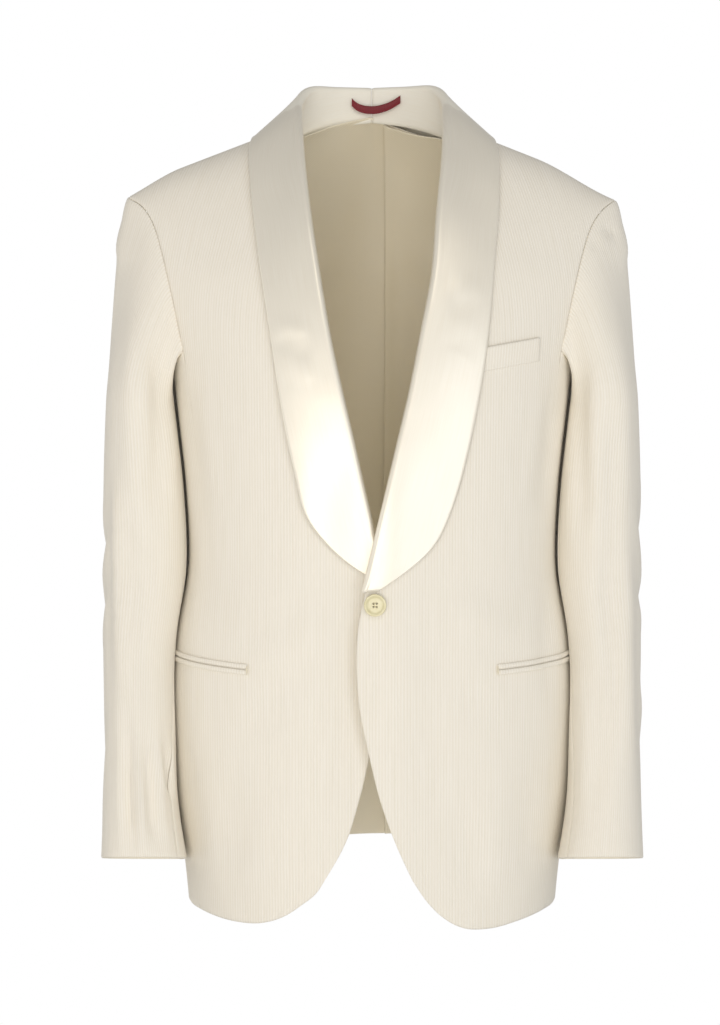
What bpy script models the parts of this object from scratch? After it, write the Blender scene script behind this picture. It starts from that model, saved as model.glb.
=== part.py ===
"""Shawl-collar dinner jacket, hollow, filled out as it is worn.

Metres, +Z up. The jacket's front faces -Y, and the wearer's left is at +X. The origin is the
middle of the neck, level with the neck ends of the shoulder seams.

Every panel is cut on one form, the jacket's outer surface. A point of the form has a ring angle
in degrees (0 at the middle of the front, 90 at the side, 180 at the middle of the back) and a
level, which counts the rows of FORM from the hem up to the shoulder ridge.
"""
import bpy
import numpy as np
from mathutils import Vector

# ---- driving dimensions ------------------------------------------------------------------
NECK_HALF = 0.085          # neck end of the shoulder seam, from the middle
NECK_DEPTH = 0.072         # the back neck reaches this far behind the shoulder ridge
CLOTH = 0.0020             # wall of shell cloth with its interlining
LINING_WALL = 0.0012
LAPEL_WALL = 0.0020
SEAM_GAP = 0.0003
ARMHOLE_GAP = 0.0014
SLEEVE_SEAM_GAP = 0.0015   # half the gap at a sleeve's seams, as a share of the way round
LINING_GAP = 0.0010
LINING_INSET = 1.6         # the lining stops this short of the armhole, degrees of ring angle
FRONT_SEAM = 66.0          # ring angle of the seam from front to side body, degrees
BACK_SEAM = 122.0          # ring angle of the seam from side body to back, degrees
SEAM_HALF_ANGLE = 0.06     # half a seam gap as a ring angle, degrees
OVER_LIFT = 0.0062         # the buttoned edge stands this far out of the form
UNDER_LIFT = -0.0056       # the edge below it lies this far inside the form
LIFT_REACH = 0.065         # both meet the form this far from the middle
LAPEL_RISE = 0.0037        # middle of the lapel's wall above the cloth it lies on
FACING_DROP = 0.0043       # middle of the facing's wall below that cloth
FACING_LENGTH = 0.020
BUTTON_RADIUS = 0.0104
BUTTON_THICK = 0.0034
BUTTON_SEAT = 0.0022       # the button's back stands this far off the cloth, on its shank
BUTTON_AT = (0.0022, -0.4425)
HOLE_RADIUS = 0.0010
HOLE_SPREAD = 0.0021
JET_HEIGHT = 0.0048
JET_WALL = 0.0012
JET_SLIT = 0.0010
JET_RISE = 0.0007          # clearance below whatever lies on a panel
WELT_HEIGHT = 0.0225
LOOP_WIDTH = 0.0078
LOOP_WALL = 0.0010

# level, height, half width, depth in front, depth behind, drop per metre of width, squareness
FORM_COLUMNS = ("height", "half", "front", "back", "slope", "square")
FORM = (
    (-0.790, 0.1770, 0.1450, 0.1540, 0.00, 2.30),    # below the hem
    (-0.710, 0.1835, 0.1430, 0.1530, 0.00, 2.30),    # hem
    (-0.630, 0.1945, 0.1390, 0.1510, 0.00, 2.25),    # skirt
    (-0.545, 0.1990, 0.1330, 0.1460, 0.00, 2.20),    # hip
    (-0.480, 0.1930, 0.1290, 0.1330, 0.00, 2.20),    # high hip
    (-0.415, 0.1800, 0.1265, 0.1250, 0.00, 2.20),    # waist
    (-0.345, 0.1815, 0.1270, 0.1330, 0.00, 2.20),    # ribs
    (-0.280, 0.1880, 0.1275, 0.1440, 0.00, 2.20),    # chest
    (-0.215, 0.1960, 0.1230, 0.1510, 0.02, 2.20),    # below the arm
    (-0.155, 0.2110, 0.1120, 0.1500, 0.12, 2.15),    # chest pocket
    (-0.100, 0.2310, 0.0930, 0.1360, 0.26, 2.10),    # shoulder blade
    (-0.055, 0.2490, 0.0690, 0.1080, 0.34, 2.05),    # yoke
    (-0.022, 0.2620, 0.0440, 0.0720, 0.37, 2.00),    # collarbone
    (-0.005, 0.2680, 0.0205, 0.0345, 0.38, 2.00),    # crest
    (0.000, 0.2700, 0.0004, 0.0004, 0.38, 2.00),     # ridge
)
TOP = len(FORM) - 1.0
NAPE_LIFT = 0.017          # the back neck rises this far above the ridge rows
EXTRA_DROP = {1: 0.035, -1: 0.0}    # more shoulder slope on the wearer's left
SHOULDER_CROWN = 0.0098    # padding lifts the shoulder this much between neck and tip
CROWN_END = {1: (0.160, 0.235), -1: (0.185, 0.252)}    # it fades out between these distances

# The front edge and the edge inside the roll, seen from the front: across towards its own side,
# height. The over front is the wearer's left, and the under front is the wearer's right.
EDGE_OVER = ((0.0367, -0.6987), (0.0199, -0.6613), (0.0068, -0.6239), (-0.0035, -0.5820),
             (-0.0120, -0.5400), (-0.0150, -0.4950), (-0.0130, -0.4620), (-0.0070, -0.4330),
             (0.0071, -0.3789), (0.0150, -0.3450), (0.0262, -0.2950), (0.0377, -0.2467),
             (0.0498, -0.1850), (0.0589, -0.1380), (0.0665, -0.0850), (0.0730, -0.0430),
             (0.0790, -0.0170), (0.0850, 0.0000))
EDGE_UNDER = ((0.0444, -0.6987), (0.0239, -0.6613), (0.0136, -0.6286), (0.0035, -0.5886),
              (-0.0060, -0.5450), (-0.0120, -0.4950), (-0.0125, -0.4580), (-0.0085, -0.4250),
              (0.0018, -0.3775), (0.0110, -0.3380), (0.0218, -0.2902), (0.0310, -0.2523),
              (0.0440, -0.1930), (0.0550, -0.1380), (0.0640, -0.0850), (0.0720, -0.0430),
              (0.0785, -0.0170), (0.0850, 0.0000))
# The hem from the cutaway to the seam of the side body: across, height.
HEM_OVER = ((0.0367, -0.6987), (0.0535, -0.7220), (0.0676, -0.7348), (0.0890, -0.7460),
            (0.1180, -0.7490), (0.1470, -0.7460), (0.1740, -0.7420))
HEM_UNDER = ((0.0444, -0.6987), (0.0537, -0.7126), (0.0678, -0.7235), (0.0860, -0.7350),
             (0.1100, -0.7430), (0.1400, -0.7450), (0.1740, -0.7420))
HEM_BACK_RISE = 0.038      # the middle of the back hem is this much higher than its sides
HEM_SIDE = -0.7420

# The armhole on the front and on the back: across, height.
ARMHOLE_FRONT = ((0.1810, -0.2070), (0.1865, -0.1790), (0.1930, -0.1480), (0.2020, -0.1120),
                 (0.2110, -0.0880), (0.2230, -0.0700), (0.2365, -0.0590))
ARMHOLE_BACK = ((0.1870, -0.2050), (0.1890, -0.1750), (0.1950, -0.1400), (0.2030, -0.1080),
                (0.2130, -0.0860), (0.2240, -0.0710), (0.2365, -0.0590))
UNDERARM_DIP = 0.018       # the armhole is this much lower at the side than at its seams

# The shawl's stations from the nape down the roll line: name, the roll's point, the outer edge,
# the bottom of the stand, and how far the section lies on the body (0 at the neck, 1 below it).
SHAWL_COLUMNS = ("roll", "edge", "seam", "lies")


def station(roll, edge, seam, lies):
    """One row of the shawl's table as a dictionary with named columns."""
    return dict(zip(SHAWL_COLUMNS, (roll, edge, seam, lies)))


SHAWL_OVER = (
    station((0.0000, 0.0760, 0.0560), (0.0000, 0.0900, 0.0080), (0.0000, 0.0655, 0.0210), 0.0),
    station((0.0360, 0.0680, 0.0565), (0.0550, 0.0800, 0.0040), (0.0350, 0.0580, 0.0160), 0.0),
    station((0.0600, 0.0460, 0.0550), (0.0920, 0.0500, 0.0000), (0.0590, 0.0430, 0.0080), 0.0),
    station((0.0690, 0.0200, 0.0430), (0.1100, 0.0120, -0.0060), (0.0760, 0.0180, -0.0010), 0.0),
    station((0.0690, -0.0150, 0.0190), (0.1165, -0.0200, -0.0180), (0.0780, -0.0120, -0.0060), 0.1),
    station((0.0670, -0.0470, -0.0170), (0.1190, -0.0500, -0.0480), (0.0760, -0.0380, -0.0240), 0.7),
    station((0.0604, None, -0.0768), (0.1185, None, -0.0800), None, 1.0),
    station((0.0549, None, -0.1380), (0.1125, None, -0.1370), None, 1.0),
    station((0.0458, None, -0.1850), (0.1075, None, -0.1900), None, 1.0),
    station((0.0337, None, -0.2467), (0.0995, None, -0.2449), None, 1.0),
    station((0.0222, None, -0.2950), (0.0900, None, -0.2930), None, 1.0),
    station((0.0110, None, -0.3430), (0.0785, None, -0.3380), None, 1.0),
    station((0.0036, None, -0.3750), (0.0690, None, -0.3645), None, 1.0),
    station((-0.0005, None, -0.3930), (0.0600, None, -0.3840), None, 1.0),
    station((-0.0040, None, -0.4080), (0.0449, None, -0.4008), None, 1.0),
    station((-0.0070, None, -0.4200), (0.0236, None, -0.4166), None, 1.0),
    station((-0.0100, None, -0.4310), (0.0040, None, -0.4300), None, 1.0),
)
SHAWL_UNDER = (
    station((0.0000, 0.0760, 0.0560), (0.0000, 0.0900, 0.0080), (0.0000, 0.0655, 0.0210), 0.0),
    station((0.0360, 0.0680, 0.0560), (0.0550, 0.0800, 0.0040), (0.0350, 0.0580, 0.0160), 0.0),
    station((0.0600, 0.0460, 0.0540), (0.0920, 0.0500, 0.0000), (0.0590, 0.0430, 0.0080), 0.0),
    station((0.0690, 0.0200, 0.0410), (0.1090, 0.0120, -0.0060), (0.0760, 0.0180, -0.0010), 0.0),
    station((0.0685, -0.0150, 0.0180), (0.1145, -0.0200, -0.0190), (0.0780, -0.0120, -0.0060), 0.1),
    station((0.0655, -0.0470, -0.0180), (0.1145, -0.0500, -0.0480), (0.0755, -0.0380, -0.0240), 0.7),
    station((0.0584, None, -0.0768), (0.1120, None, -0.0800), None, 1.0),
    station((0.0510, None, -0.1257), (0.1050, None, -0.1280), None, 1.0),
    station((0.0387, None, -0.1977), (0.0943, None, -0.1949), None, 1.0),
    station((0.0266, None, -0.2523), (0.0868, None, -0.2449), None, 1.0),
    station((0.0178, None, -0.2902), (0.0804, None, -0.2810), None, 1.0),
    station((0.0093, None, -0.3283), (0.0715, None, -0.3220), None, 1.0),
    station((-0.0022, None, -0.3775), (0.0538, None, -0.3734), None, 1.0),
    station((-0.0060, None, -0.3930), (0.0360, None, -0.3935), None, 1.0),
    station((-0.0090, None, -0.4050), (0.0190, None, -0.4080), None, 1.0),
    station((-0.0110, None, -0.4140), (0.0030, None, -0.4165), None, 1.0),
)

# The sleeve's rings below the armhole: height at the middle, inner and outer side, middle of the
# depth, depth, and how much the ring tips up to the front.
SLEEVE_COLUMNS = ("height", "inner", "outer", "middle", "depth", "tip")
SLEEVE = (
    (-0.258, 0.1930, 0.2600, 0.0130, 0.1660, 0.00),    # biceps
    (-0.330, 0.1840, 0.2630, 0.0130, 0.1560, 0.00),    # upper arm
    (-0.420, 0.1815, 0.2630, 0.0060, 0.1440, 0.04),    # elbow
    (-0.500, 0.1920, 0.2620, -0.0120, 0.1300, 0.12),    # below the elbow
    (-0.570, 0.1915, 0.2595, -0.0330, 0.1170, 0.18),    # forearm
    (-0.635, 0.1870, 0.2590, -0.0510, 0.1060, 0.22),    # wrist
    (-0.693, 0.1780, 0.2600, -0.0670, 0.0980, 0.22),    # cuff
)
SLEEVE_SQUARE = 2.3
FRONT_SLEEVE_SEAM = 0.395    # share of the way round the sleeve from its outer middle, by the front
BACK_SLEEVE_SEAM = 0.670
SLEEVE_CLEAR = 0.0034
CAP_SWELL = 0.034          # how strongly the sleeve leaves the shoulder tip outwards
UNDERARM_SWELL = 0.022     # and the underarm

# Cells of each panel
SEAM_CELLS = 14            # along a side seam, from the hem to the armhole
ARMHOLE_CELLS = 8          # from there to the shoulder tip
CROWDING = 1.25            # above 1, rows crowd towards the shoulder
FRONT_CELLS = 9
NECK_CELLS = 3
SHOULDER_CELLS = 4
SIDE_CELLS = 5
UPPER_SLEEVE_CELLS = 10
UNDER_SLEEVE_CELLS = 5
CAP_CELLS = 6
SLEEVE_RING_CELLS = 9
SHAWL_CELLS = 20
JET_CELLS = 8
WELT_CELLS = 6
LOOP_CELLS = 8

# ---- materials: colour, roughness ----------------------------------------------------------
FINISHES = {"silk": ((0.80, 0.77, 0.68), 0.55), "satin": ((0.78, 0.75, 0.66), 0.32),
            "lining": ((0.62, 0.55, 0.40), 0.38), "button": ((0.79, 0.76, 0.56), 0.30),
            "tape": ((0.20, 0.004, 0.012), 0.50)}


# ---- curves and the form ------------------------------------------------------------------
def smoothstep(value, low, high):
    """Rise from 0 to 1 with level ends as value goes from low to high."""
    share = np.clip((np.asarray(value, float) - low) / (high - low), 0.0, 1.0)
    return share * share * (3.0 - 2.0 * share)


def hermite(knots, values, at):
    """Smooth curve through values at knots, with slopes from the neighbouring rows."""
    knots = np.asarray(knots, float)
    values = np.asarray(values, float)
    step = np.diff(knots)
    flat = (len(step),) + (1,) * (values.ndim - 1)
    slope = np.diff(values, axis=0) / step.reshape(flat)
    tangent = np.empty_like(values)
    before = step[:-1].reshape((-1,) + flat[1:])
    after = step[1:].reshape((-1,) + flat[1:])
    tangent[1:-1] = (slope[:-1] * after + slope[1:] * before) / (before + after)
    tangent[0] = 1.5 * slope[0] - 0.5 * tangent[1]
    tangent[-1] = 1.5 * slope[-1] - 0.5 * tangent[-2]
    at = np.clip(np.asarray(at, float), knots[0], knots[-1])
    row = np.clip(np.searchsorted(knots, at, side="right") - 1, 0, len(step) - 1)
    share = ((at - knots[row]) / step[row]).reshape(at.shape + (1,) * (values.ndim - 1))
    width = step[row].reshape(share.shape)
    return (values[row] * (1 + 2 * share) * (1 - share) ** 2
            + tangent[row] * width * share * (1 - share) ** 2
            + values[row + 1] * share ** 2 * (3 - 2 * share)
            + tangent[row + 1] * width * share ** 2 * (share - 1))


def along(points, shares):
    """Points of the smooth curve through the given points, by share of its chord length."""
    points = np.asarray(points, float)
    knots = np.concatenate([[0.0], np.cumsum(np.linalg.norm(np.diff(points, axis=0), axis=1))])
    return hermite(knots / knots[-1], points, shares)


FORM_ROWS = np.array(FORM)


def form_values(level):
    """The form's columns at a level between its rows."""
    values = hermite(np.arange(len(FORM_ROWS)), FORM_ROWS, level)
    return dict(zip(FORM_COLUMNS, np.moveaxis(values, -1, 0)))


def form_point(angle, level, hand):
    """Point of the form. The angle is 0 to 180 degrees on the half that hand (1 or -1) names."""
    angle = np.radians(np.asarray(angle, float))
    row = form_values(np.asarray(level, float))
    power = 2.0 / row["square"]
    across = row["half"] * np.sign(np.sin(angle)) * np.abs(np.sin(angle)) ** power
    facing = np.sign(np.cos(angle)) * np.abs(np.cos(angle)) ** power
    deep = np.where(facing > 0, -row["front"] * facing, -row["back"] * facing)
    slope = row["slope"] * (1.0 + EXTRA_DROP[hand])
    nape = NAPE_LIFT * (1.0 - smoothstep(np.abs(across), 0.0, 0.11)) * smoothstep(-facing, 0, 0.7)
    height = row["height"] - slope * (np.abs(across) - NECK_HALF)
    height = height + nape * smoothstep(row["height"], -0.22, -0.04) * smoothstep(row["back"], 0.0, 0.05)
    crown = smoothstep(np.abs(across), 0.080, 0.120) * (1.0 - smoothstep(np.abs(across), *CROWN_END[hand]))
    height = height + SHOULDER_CROWN * crown * smoothstep(row["height"], -0.10, -0.01)
    return np.stack([hand * across, deep, height], axis=-1)


def form_normal(angle, level, hand):
    """Unit normal of the form, pointing out of the jacket."""
    turn, rise = 0.6, 0.02
    angle = np.asarray(angle, float)
    level = np.asarray(level, float)
    over = form_point(angle + turn, level, hand) - form_point(angle - turn, level, hand)
    up = (form_point(angle, np.minimum(level + rise, TOP), hand)
          - form_point(angle, np.maximum(level - rise, 0.0), hand))
    normal = np.cross(over, up) * hand
    normal = normal / np.linalg.norm(normal, axis=-1, keepdims=True)
    normal[..., 1] *= 1.0 - smoothstep(level, TOP - 0.3, TOP)
    return normal / np.linalg.norm(normal, axis=-1, keepdims=True)


def locate(across, height, hand, behind=False):
    """Ring angle and level of the form's point seen at a place from the front or from behind.

    The place is across towards the half that hand names, and its height.
    """
    across = np.atleast_1d(np.asarray(across, float))
    height = np.atleast_1d(np.asarray(height, float))
    low = np.zeros_like(across)
    high = np.full_like(across, TOP)
    for _ in range(40):
        level = 0.5 * (low + high)
        row = form_values(level)
        drop = row["slope"] * (1.0 + EXTRA_DROP[hand]) * (np.abs(across) - NECK_HALF)
        below = row["height"] - drop < height
        low = np.where(below, level, low)
        high = np.where(below, high, level)
    row = form_values(level)
    share = np.clip(np.abs(across) / row["half"], 0.0, 1.0)
    angle = np.degrees(np.arcsin(share ** (row["square"] / 2.0))) * np.sign(across + 1e-12)
    return np.stack([np.where(behind, 180.0 - angle, angle), level], axis=-1)


def lift(points, hand):
    """How far the overlapping front edge stands out of the form, or lies inside it."""
    middle = 1.0 - smoothstep(points[..., 0] * hand, 0.012, LIFT_REACH)
    amount = OVER_LIFT if hand > 0 else UNDER_LIFT
    return amount * middle * (1.0 - smoothstep(points[..., 2], -0.37, -0.25))


def on_form(domain, hand, rise=0.0, lifted=False):
    """Points over the form at (angle, level) pairs, moved out along its normal."""
    points = form_point(domain[..., 0], domain[..., 1], hand)
    normal = form_normal(domain[..., 0], domain[..., 1], hand)
    rise = np.asarray(rise, float)
    if lifted:
        rise = rise + lift(points, hand)
    return points + normal * rise[..., None] if rise.ndim else points + normal * rise


def coons(left, right, bottom, top):
    """Grid of domain points inside four edges: left and right go up, bottom and top go across."""
    rows, columns = len(left), len(bottom)
    up = np.linspace(0, 1, rows)[:, None, None]
    over = np.linspace(0, 1, columns)[None, :, None]
    left, right = left[:, None, :], right[:, None, :]
    bottom, top = bottom[None, :, :], top[None, :, :]
    corners = ((1 - up) * ((1 - over) * bottom[:, :1] + over * bottom[:, -1:])
               + up * ((1 - over) * top[:, :1] + over * top[:, -1:]))
    return (1 - over) * left + over * right + (1 - up) * bottom + up * top - corners


# ---- panels of the body, as grids of (angle, level) ----------------------------------------
def level_at(height):
    """Level of a ring below the arm, where rings are level."""
    return float(np.interp(height, FORM_ROWS[:9, 0], np.arange(9)))


def level_behind(across, deep):
    """Level at which the back of the form passes over a place of the plan near the neck."""
    low, high = 8.0, TOP
    for _ in range(40):
        level = 0.5 * (low + high)
        row = form_values(level)
        square = row["square"]
        reach = row["back"] * max(1.0 - (across / row["half"]) ** square, 0.0) ** (1.0 / square)
        low, high = (level, high) if reach > deep else (low, level)
    return level


def ridge_angles(first, last, cells, behind=False):
    """Domain points of the shoulder seam between two distances from the middle."""
    half = FORM_ROWS[-1, 1]
    angles = np.degrees(np.arcsin(np.linspace(first, last, cells + 1) / half))
    angles = 180.0 - angles if behind else angles
    return np.stack([angles, np.full(cells + 1, TOP)], axis=-1)


def spaced(table, hand, behind, cells, crowding):
    """Domain points along an outline, in even steps of the form that shorten towards its end."""
    fine = along(table, np.linspace(0, 1, 161))
    domain = locate(fine[:, 0], fine[:, 1], hand, behind)
    points = form_point(domain[:, 0], domain[:, 1], hand)
    length = np.concatenate([[0.0], np.cumsum(np.linalg.norm(np.diff(points, axis=0), axis=1))])
    wanted = 1.0 - (1.0 - np.linspace(0, 1, cells + 1)) ** crowding
    place = np.interp(wanted * length[-1], length, np.linspace(0, 1, len(fine)))
    places = along(table, place)
    return locate(places[:, 0], places[:, 1], hand, behind)


TIP_ACROSS = ARMHOLE_FRONT[-1][0]


def armhole_edge(table, hand, behind):
    """Domain points of one half of the armhole, from the side seam up to the shoulder tip."""
    edge = spaced(table, hand, behind, ARMHOLE_CELLS, CROWDING)
    edge[-1] = ridge_angles(TIP_ACROSS, TIP_ACROSS, 0, behind)[0]
    return edge


def side_seam(foot_angle, foot_height, top):
    """Domain points of a side seam from the hem to the foot of the armhole at top."""
    share = np.linspace(0, 1, SEAM_CELLS + 1)
    angle = foot_angle + (top[0] - foot_angle) * smoothstep(share, 0.55, 1.0)
    return np.stack([angle, level_at(foot_height) + (top[1] - level_at(foot_height)) * share], axis=-1)


def front_side_edge(hand):
    """Right edge of a front panel: its side seam, then its half of the armhole."""
    armhole = armhole_edge(ARMHOLE_FRONT, hand, False)
    return np.concatenate([side_seam(FRONT_SEAM, HEM_SIDE, armhole[0])[:-1], armhole])


def back_side_edge(hand):
    """Outer edge of a back panel: its side seam, then its half of the armhole."""
    armhole = armhole_edge(ARMHOLE_BACK, hand, True)
    return np.concatenate([side_seam(BACK_SEAM, HEM_SIDE, armhole[0])[:-1], armhole])


def front_grid(hand):
    """Domain of a front panel, from its edge across to the side."""
    edge, hem = (EDGE_OVER, HEM_OVER) if hand > 0 else (EDGE_UNDER, HEM_UNDER)
    right = front_side_edge(hand)
    right[:, 0] -= SEAM_HALF_ANGLE
    left = spaced(edge, hand, False, len(right) - 1, CROWDING)
    top = ridge_angles(NECK_HALF, TIP_ACROSS, FRONT_CELLS)
    places = along(hem, np.linspace(0, 1, FRONT_CELLS + 1))
    bottom = locate(places[:, 0], places[:, 1], hand)
    left[-1], top[-1] = top[0], right[-1]
    left[0], right[0] = bottom[0], (right[0, 0], bottom[-1, 1])
    bottom[-1] = right[0]
    return coons(left, right, bottom, top)


def back_grid(hand):
    """Domain of a back panel, from the centre seam across to the side."""
    right = back_side_edge(hand)
    right[:, 0] += SEAM_HALF_ANGLE
    nape = level_behind(0.0, NECK_DEPTH)
    hem_angles = np.linspace(180.0 - SEAM_HALF_ANGLE, right[0, 0], NECK_CELLS + SHOULDER_CELLS + 1)
    rise = HEM_BACK_RISE * smoothstep(hem_angles, BACK_SEAM - 20, 180.0)
    rise = rise - rise[-1]
    bottom = np.stack([hem_angles, [level_at(HEM_SIDE + step) for step in rise]], axis=-1)
    share = np.linspace(0, 1, len(right))
    left = np.stack([np.full(len(right), 180.0 - SEAM_HALF_ANGLE),
                     bottom[0, 1] + (nape - bottom[0, 1]) * share], axis=-1)
    turn = np.linspace(0, 0.5 * np.pi, NECK_CELLS + 1)
    neck = []
    for across, deep in zip(NECK_HALF * np.sin(turn), NECK_DEPTH * np.cos(turn)):
        level = level_behind(across, deep)
        row = form_values(level)
        share_across = min(across / row["half"], 1.0) ** (row["square"] / 2.0)
        neck.append((180.0 - np.degrees(np.arcsin(share_across)), level))
    shoulder = ridge_angles(NECK_HALF, TIP_ACROSS, SHOULDER_CELLS, True)
    top = np.concatenate([np.array(neck)[:-1], shoulder])
    top[0], top[-1], right[0] = left[-1], right[-1], bottom[-1]
    return coons(left, right, bottom, top)


def side_grid(hand):
    """Domain of a side body, from the front seam round to the back seam."""
    left = front_side_edge(hand)[:SEAM_CELLS + 1]
    right = back_side_edge(hand)[:SEAM_CELLS + 1]
    left[:, 0] += SEAM_HALF_ANGLE
    right[:, 0] -= SEAM_HALF_ANGLE
    share = np.linspace(0, 1, SIDE_CELLS + 1)[:, None]
    bottom = left[0] + (right[0] - left[0]) * share
    top = left[-1] + (right[-1] - left[-1]) * share
    dip = UNDERARM_DIP / (FORM_ROWS[8, 0] - FORM_ROWS[7, 0])
    top[:, 1] -= dip * 4.0 * (share * (1.0 - share))[:, 0]
    return coons(left, right, bottom, top)


# ---- solids -------------------------------------------------------------------------------
def finish_material(name):
    """Principled material with a finish's colour and roughness."""
    colour, roughness = FINISHES[name]
    material = bpy.data.materials.new(name)
    material.use_nodes = True
    shader = material.node_tree.nodes["Principled BSDF"]
    shader.inputs["Base Color"].default_value = (*colour, 1.0)
    shader.inputs["Roughness"].default_value = roughness
    material.diffuse_color = (*colour, 1.0)
    return material


def add_object(name, points, faces, finish):
    """Object from points and faces, in the named finish."""
    mesh = bpy.data.meshes.new(name)
    mesh.from_pydata([tuple(point) for point in points], [], faces)
    mesh.materials.append(finish_material(finish))
    mesh.shade_smooth()
    mesh.set_sharp_from_angle(angle=np.radians(50))
    piece = bpy.data.objects.new(name, mesh)
    bpy.context.collection.objects.link(piece)
    return piece


def add_wall(name, outer, inner, finish):
    """Closed wall between an outer and an inner grid of points."""
    rows, columns = outer.shape[:2]
    points = np.concatenate([outer.reshape(-1, 3), inner.reshape(-1, 3)])
    half = rows * columns

    def at(row, column):
        return row * columns + column

    faces = []
    for row in range(rows - 1):
        for column in range(columns - 1):
            first, second = at(row, column), at(row, column + 1)
            third, fourth = at(row + 1, column + 1), at(row + 1, column)
            for face in ((first, second, third), (first, third, fourth)):
                faces.append(face)
                faces.append(tuple(index + half for index in reversed(face)))
    rim = [at(0, column) for column in range(columns)]
    rim += [at(row, columns - 1) for row in range(1, rows)]
    rim += [at(rows - 1, column) for column in range(columns - 2, -1, -1)]
    rim += [at(row, 0) for row in range(rows - 2, 0, -1)]
    for first, second in zip(rim, rim[1:] + rim[:1]):
        faces.append((second, first, first + half))
        faces.append((second, first + half, second + half))
    corner = [points[list(column)] for column in zip(*faces)]
    if (corner[0] * np.cross(corner[1], corner[2])).sum() < 0:
        faces = [tuple(reversed(face)) for face in faces]
    return add_object(name, points, faces, finish)


def grid_normals(points):
    """Unit normals of a grid of points, from its own rows and columns."""
    over = np.gradient(points, axis=1)
    up = np.gradient(points, axis=0)
    normal = np.cross(over, up)
    return normal / np.maximum(np.linalg.norm(normal, axis=-1, keepdims=True), 1e-9)


def add_panel(name, domain, hand, finish, rise=0.0, wall=CLOTH, lifted=False):
    """Panel on the form: outer face at rise, and its wall inside that."""
    outer = on_form(domain, hand, rise, lifted)
    inner = on_form(domain, hand, rise - wall, lifted)
    return add_wall(name, outer, inner, finish)


# ---- shawl --------------------------------------------------------------------------------
class Nearest:
    """Finds the form's nearest point and normal for points near one half of the jacket."""

    def __init__(self, hand):
        angles, levels = np.meshgrid(np.arange(-24.0, 196.0, 2.0), np.arange(2.0, TOP + 0.01, 0.06))
        self.hand = hand
        self.points = form_point(angles, levels, hand).reshape(-1, 3)
        self.normals = form_normal(angles, levels, hand).reshape(-1, 3)

    def drop(self, places):
        """Points of the form under the places, with the normals there and the heights over it."""
        flat = places.reshape(-1, 3)
        found = [int(np.argmin(((self.points - place) ** 2).sum(axis=1))) for place in flat]
        normal = self.normals[found]
        height = ((flat - self.points[found]) * normal).sum(axis=1)
        foot = flat - normal * height[:, None]
        shape = places.shape
        return foot.reshape(shape), normal.reshape(shape), height.reshape(shape[:-1])

    def over(self, places, rise):
        """Places moved to the given height over the jacket's own cloth."""
        foot, normal, _ = self.drop(places)
        height = np.broadcast_to(rise, foot.shape[:-1]) + lift(foot, self.hand)
        return foot + normal * height[..., None], normal

    def clear(self, places, least):
        """Places moved out where they lie lower than least over the cloth."""
        foot, normal, height = self.drop(places)
        short = np.maximum(least + lift(foot, self.hand) - height, 0.0)
        return places + normal * short[..., None]

    def beneath(self, places, least):
        """Places moved in where they lie less than least inside the cloth."""
        foot, normal, height = self.drop(places)
        over = np.maximum(height - lift(foot, self.hand) + least, 0.0)
        return places - normal * over[..., None]


def unit(vectors):
    """Vectors scaled to length 1."""
    return vectors / np.linalg.norm(vectors, axis=-1, keepdims=True)


INNER_LEG = (0.0, 0.5)                          # shares of the way from the seam to the roll
ROLL_TURN = np.radians((-45, 0, 45, 90))     # round the roll, from inside to outside
OUTER_LEG = (0.15, 0.43, 0.72, 1.0)         # shares of the way from the roll to the edge
LIES_FROM = 0.4            # above this share the section lies on the body
NECK_BULGE = 0.002         # the collar's fall swells this far at its middle, behind the neck


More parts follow.
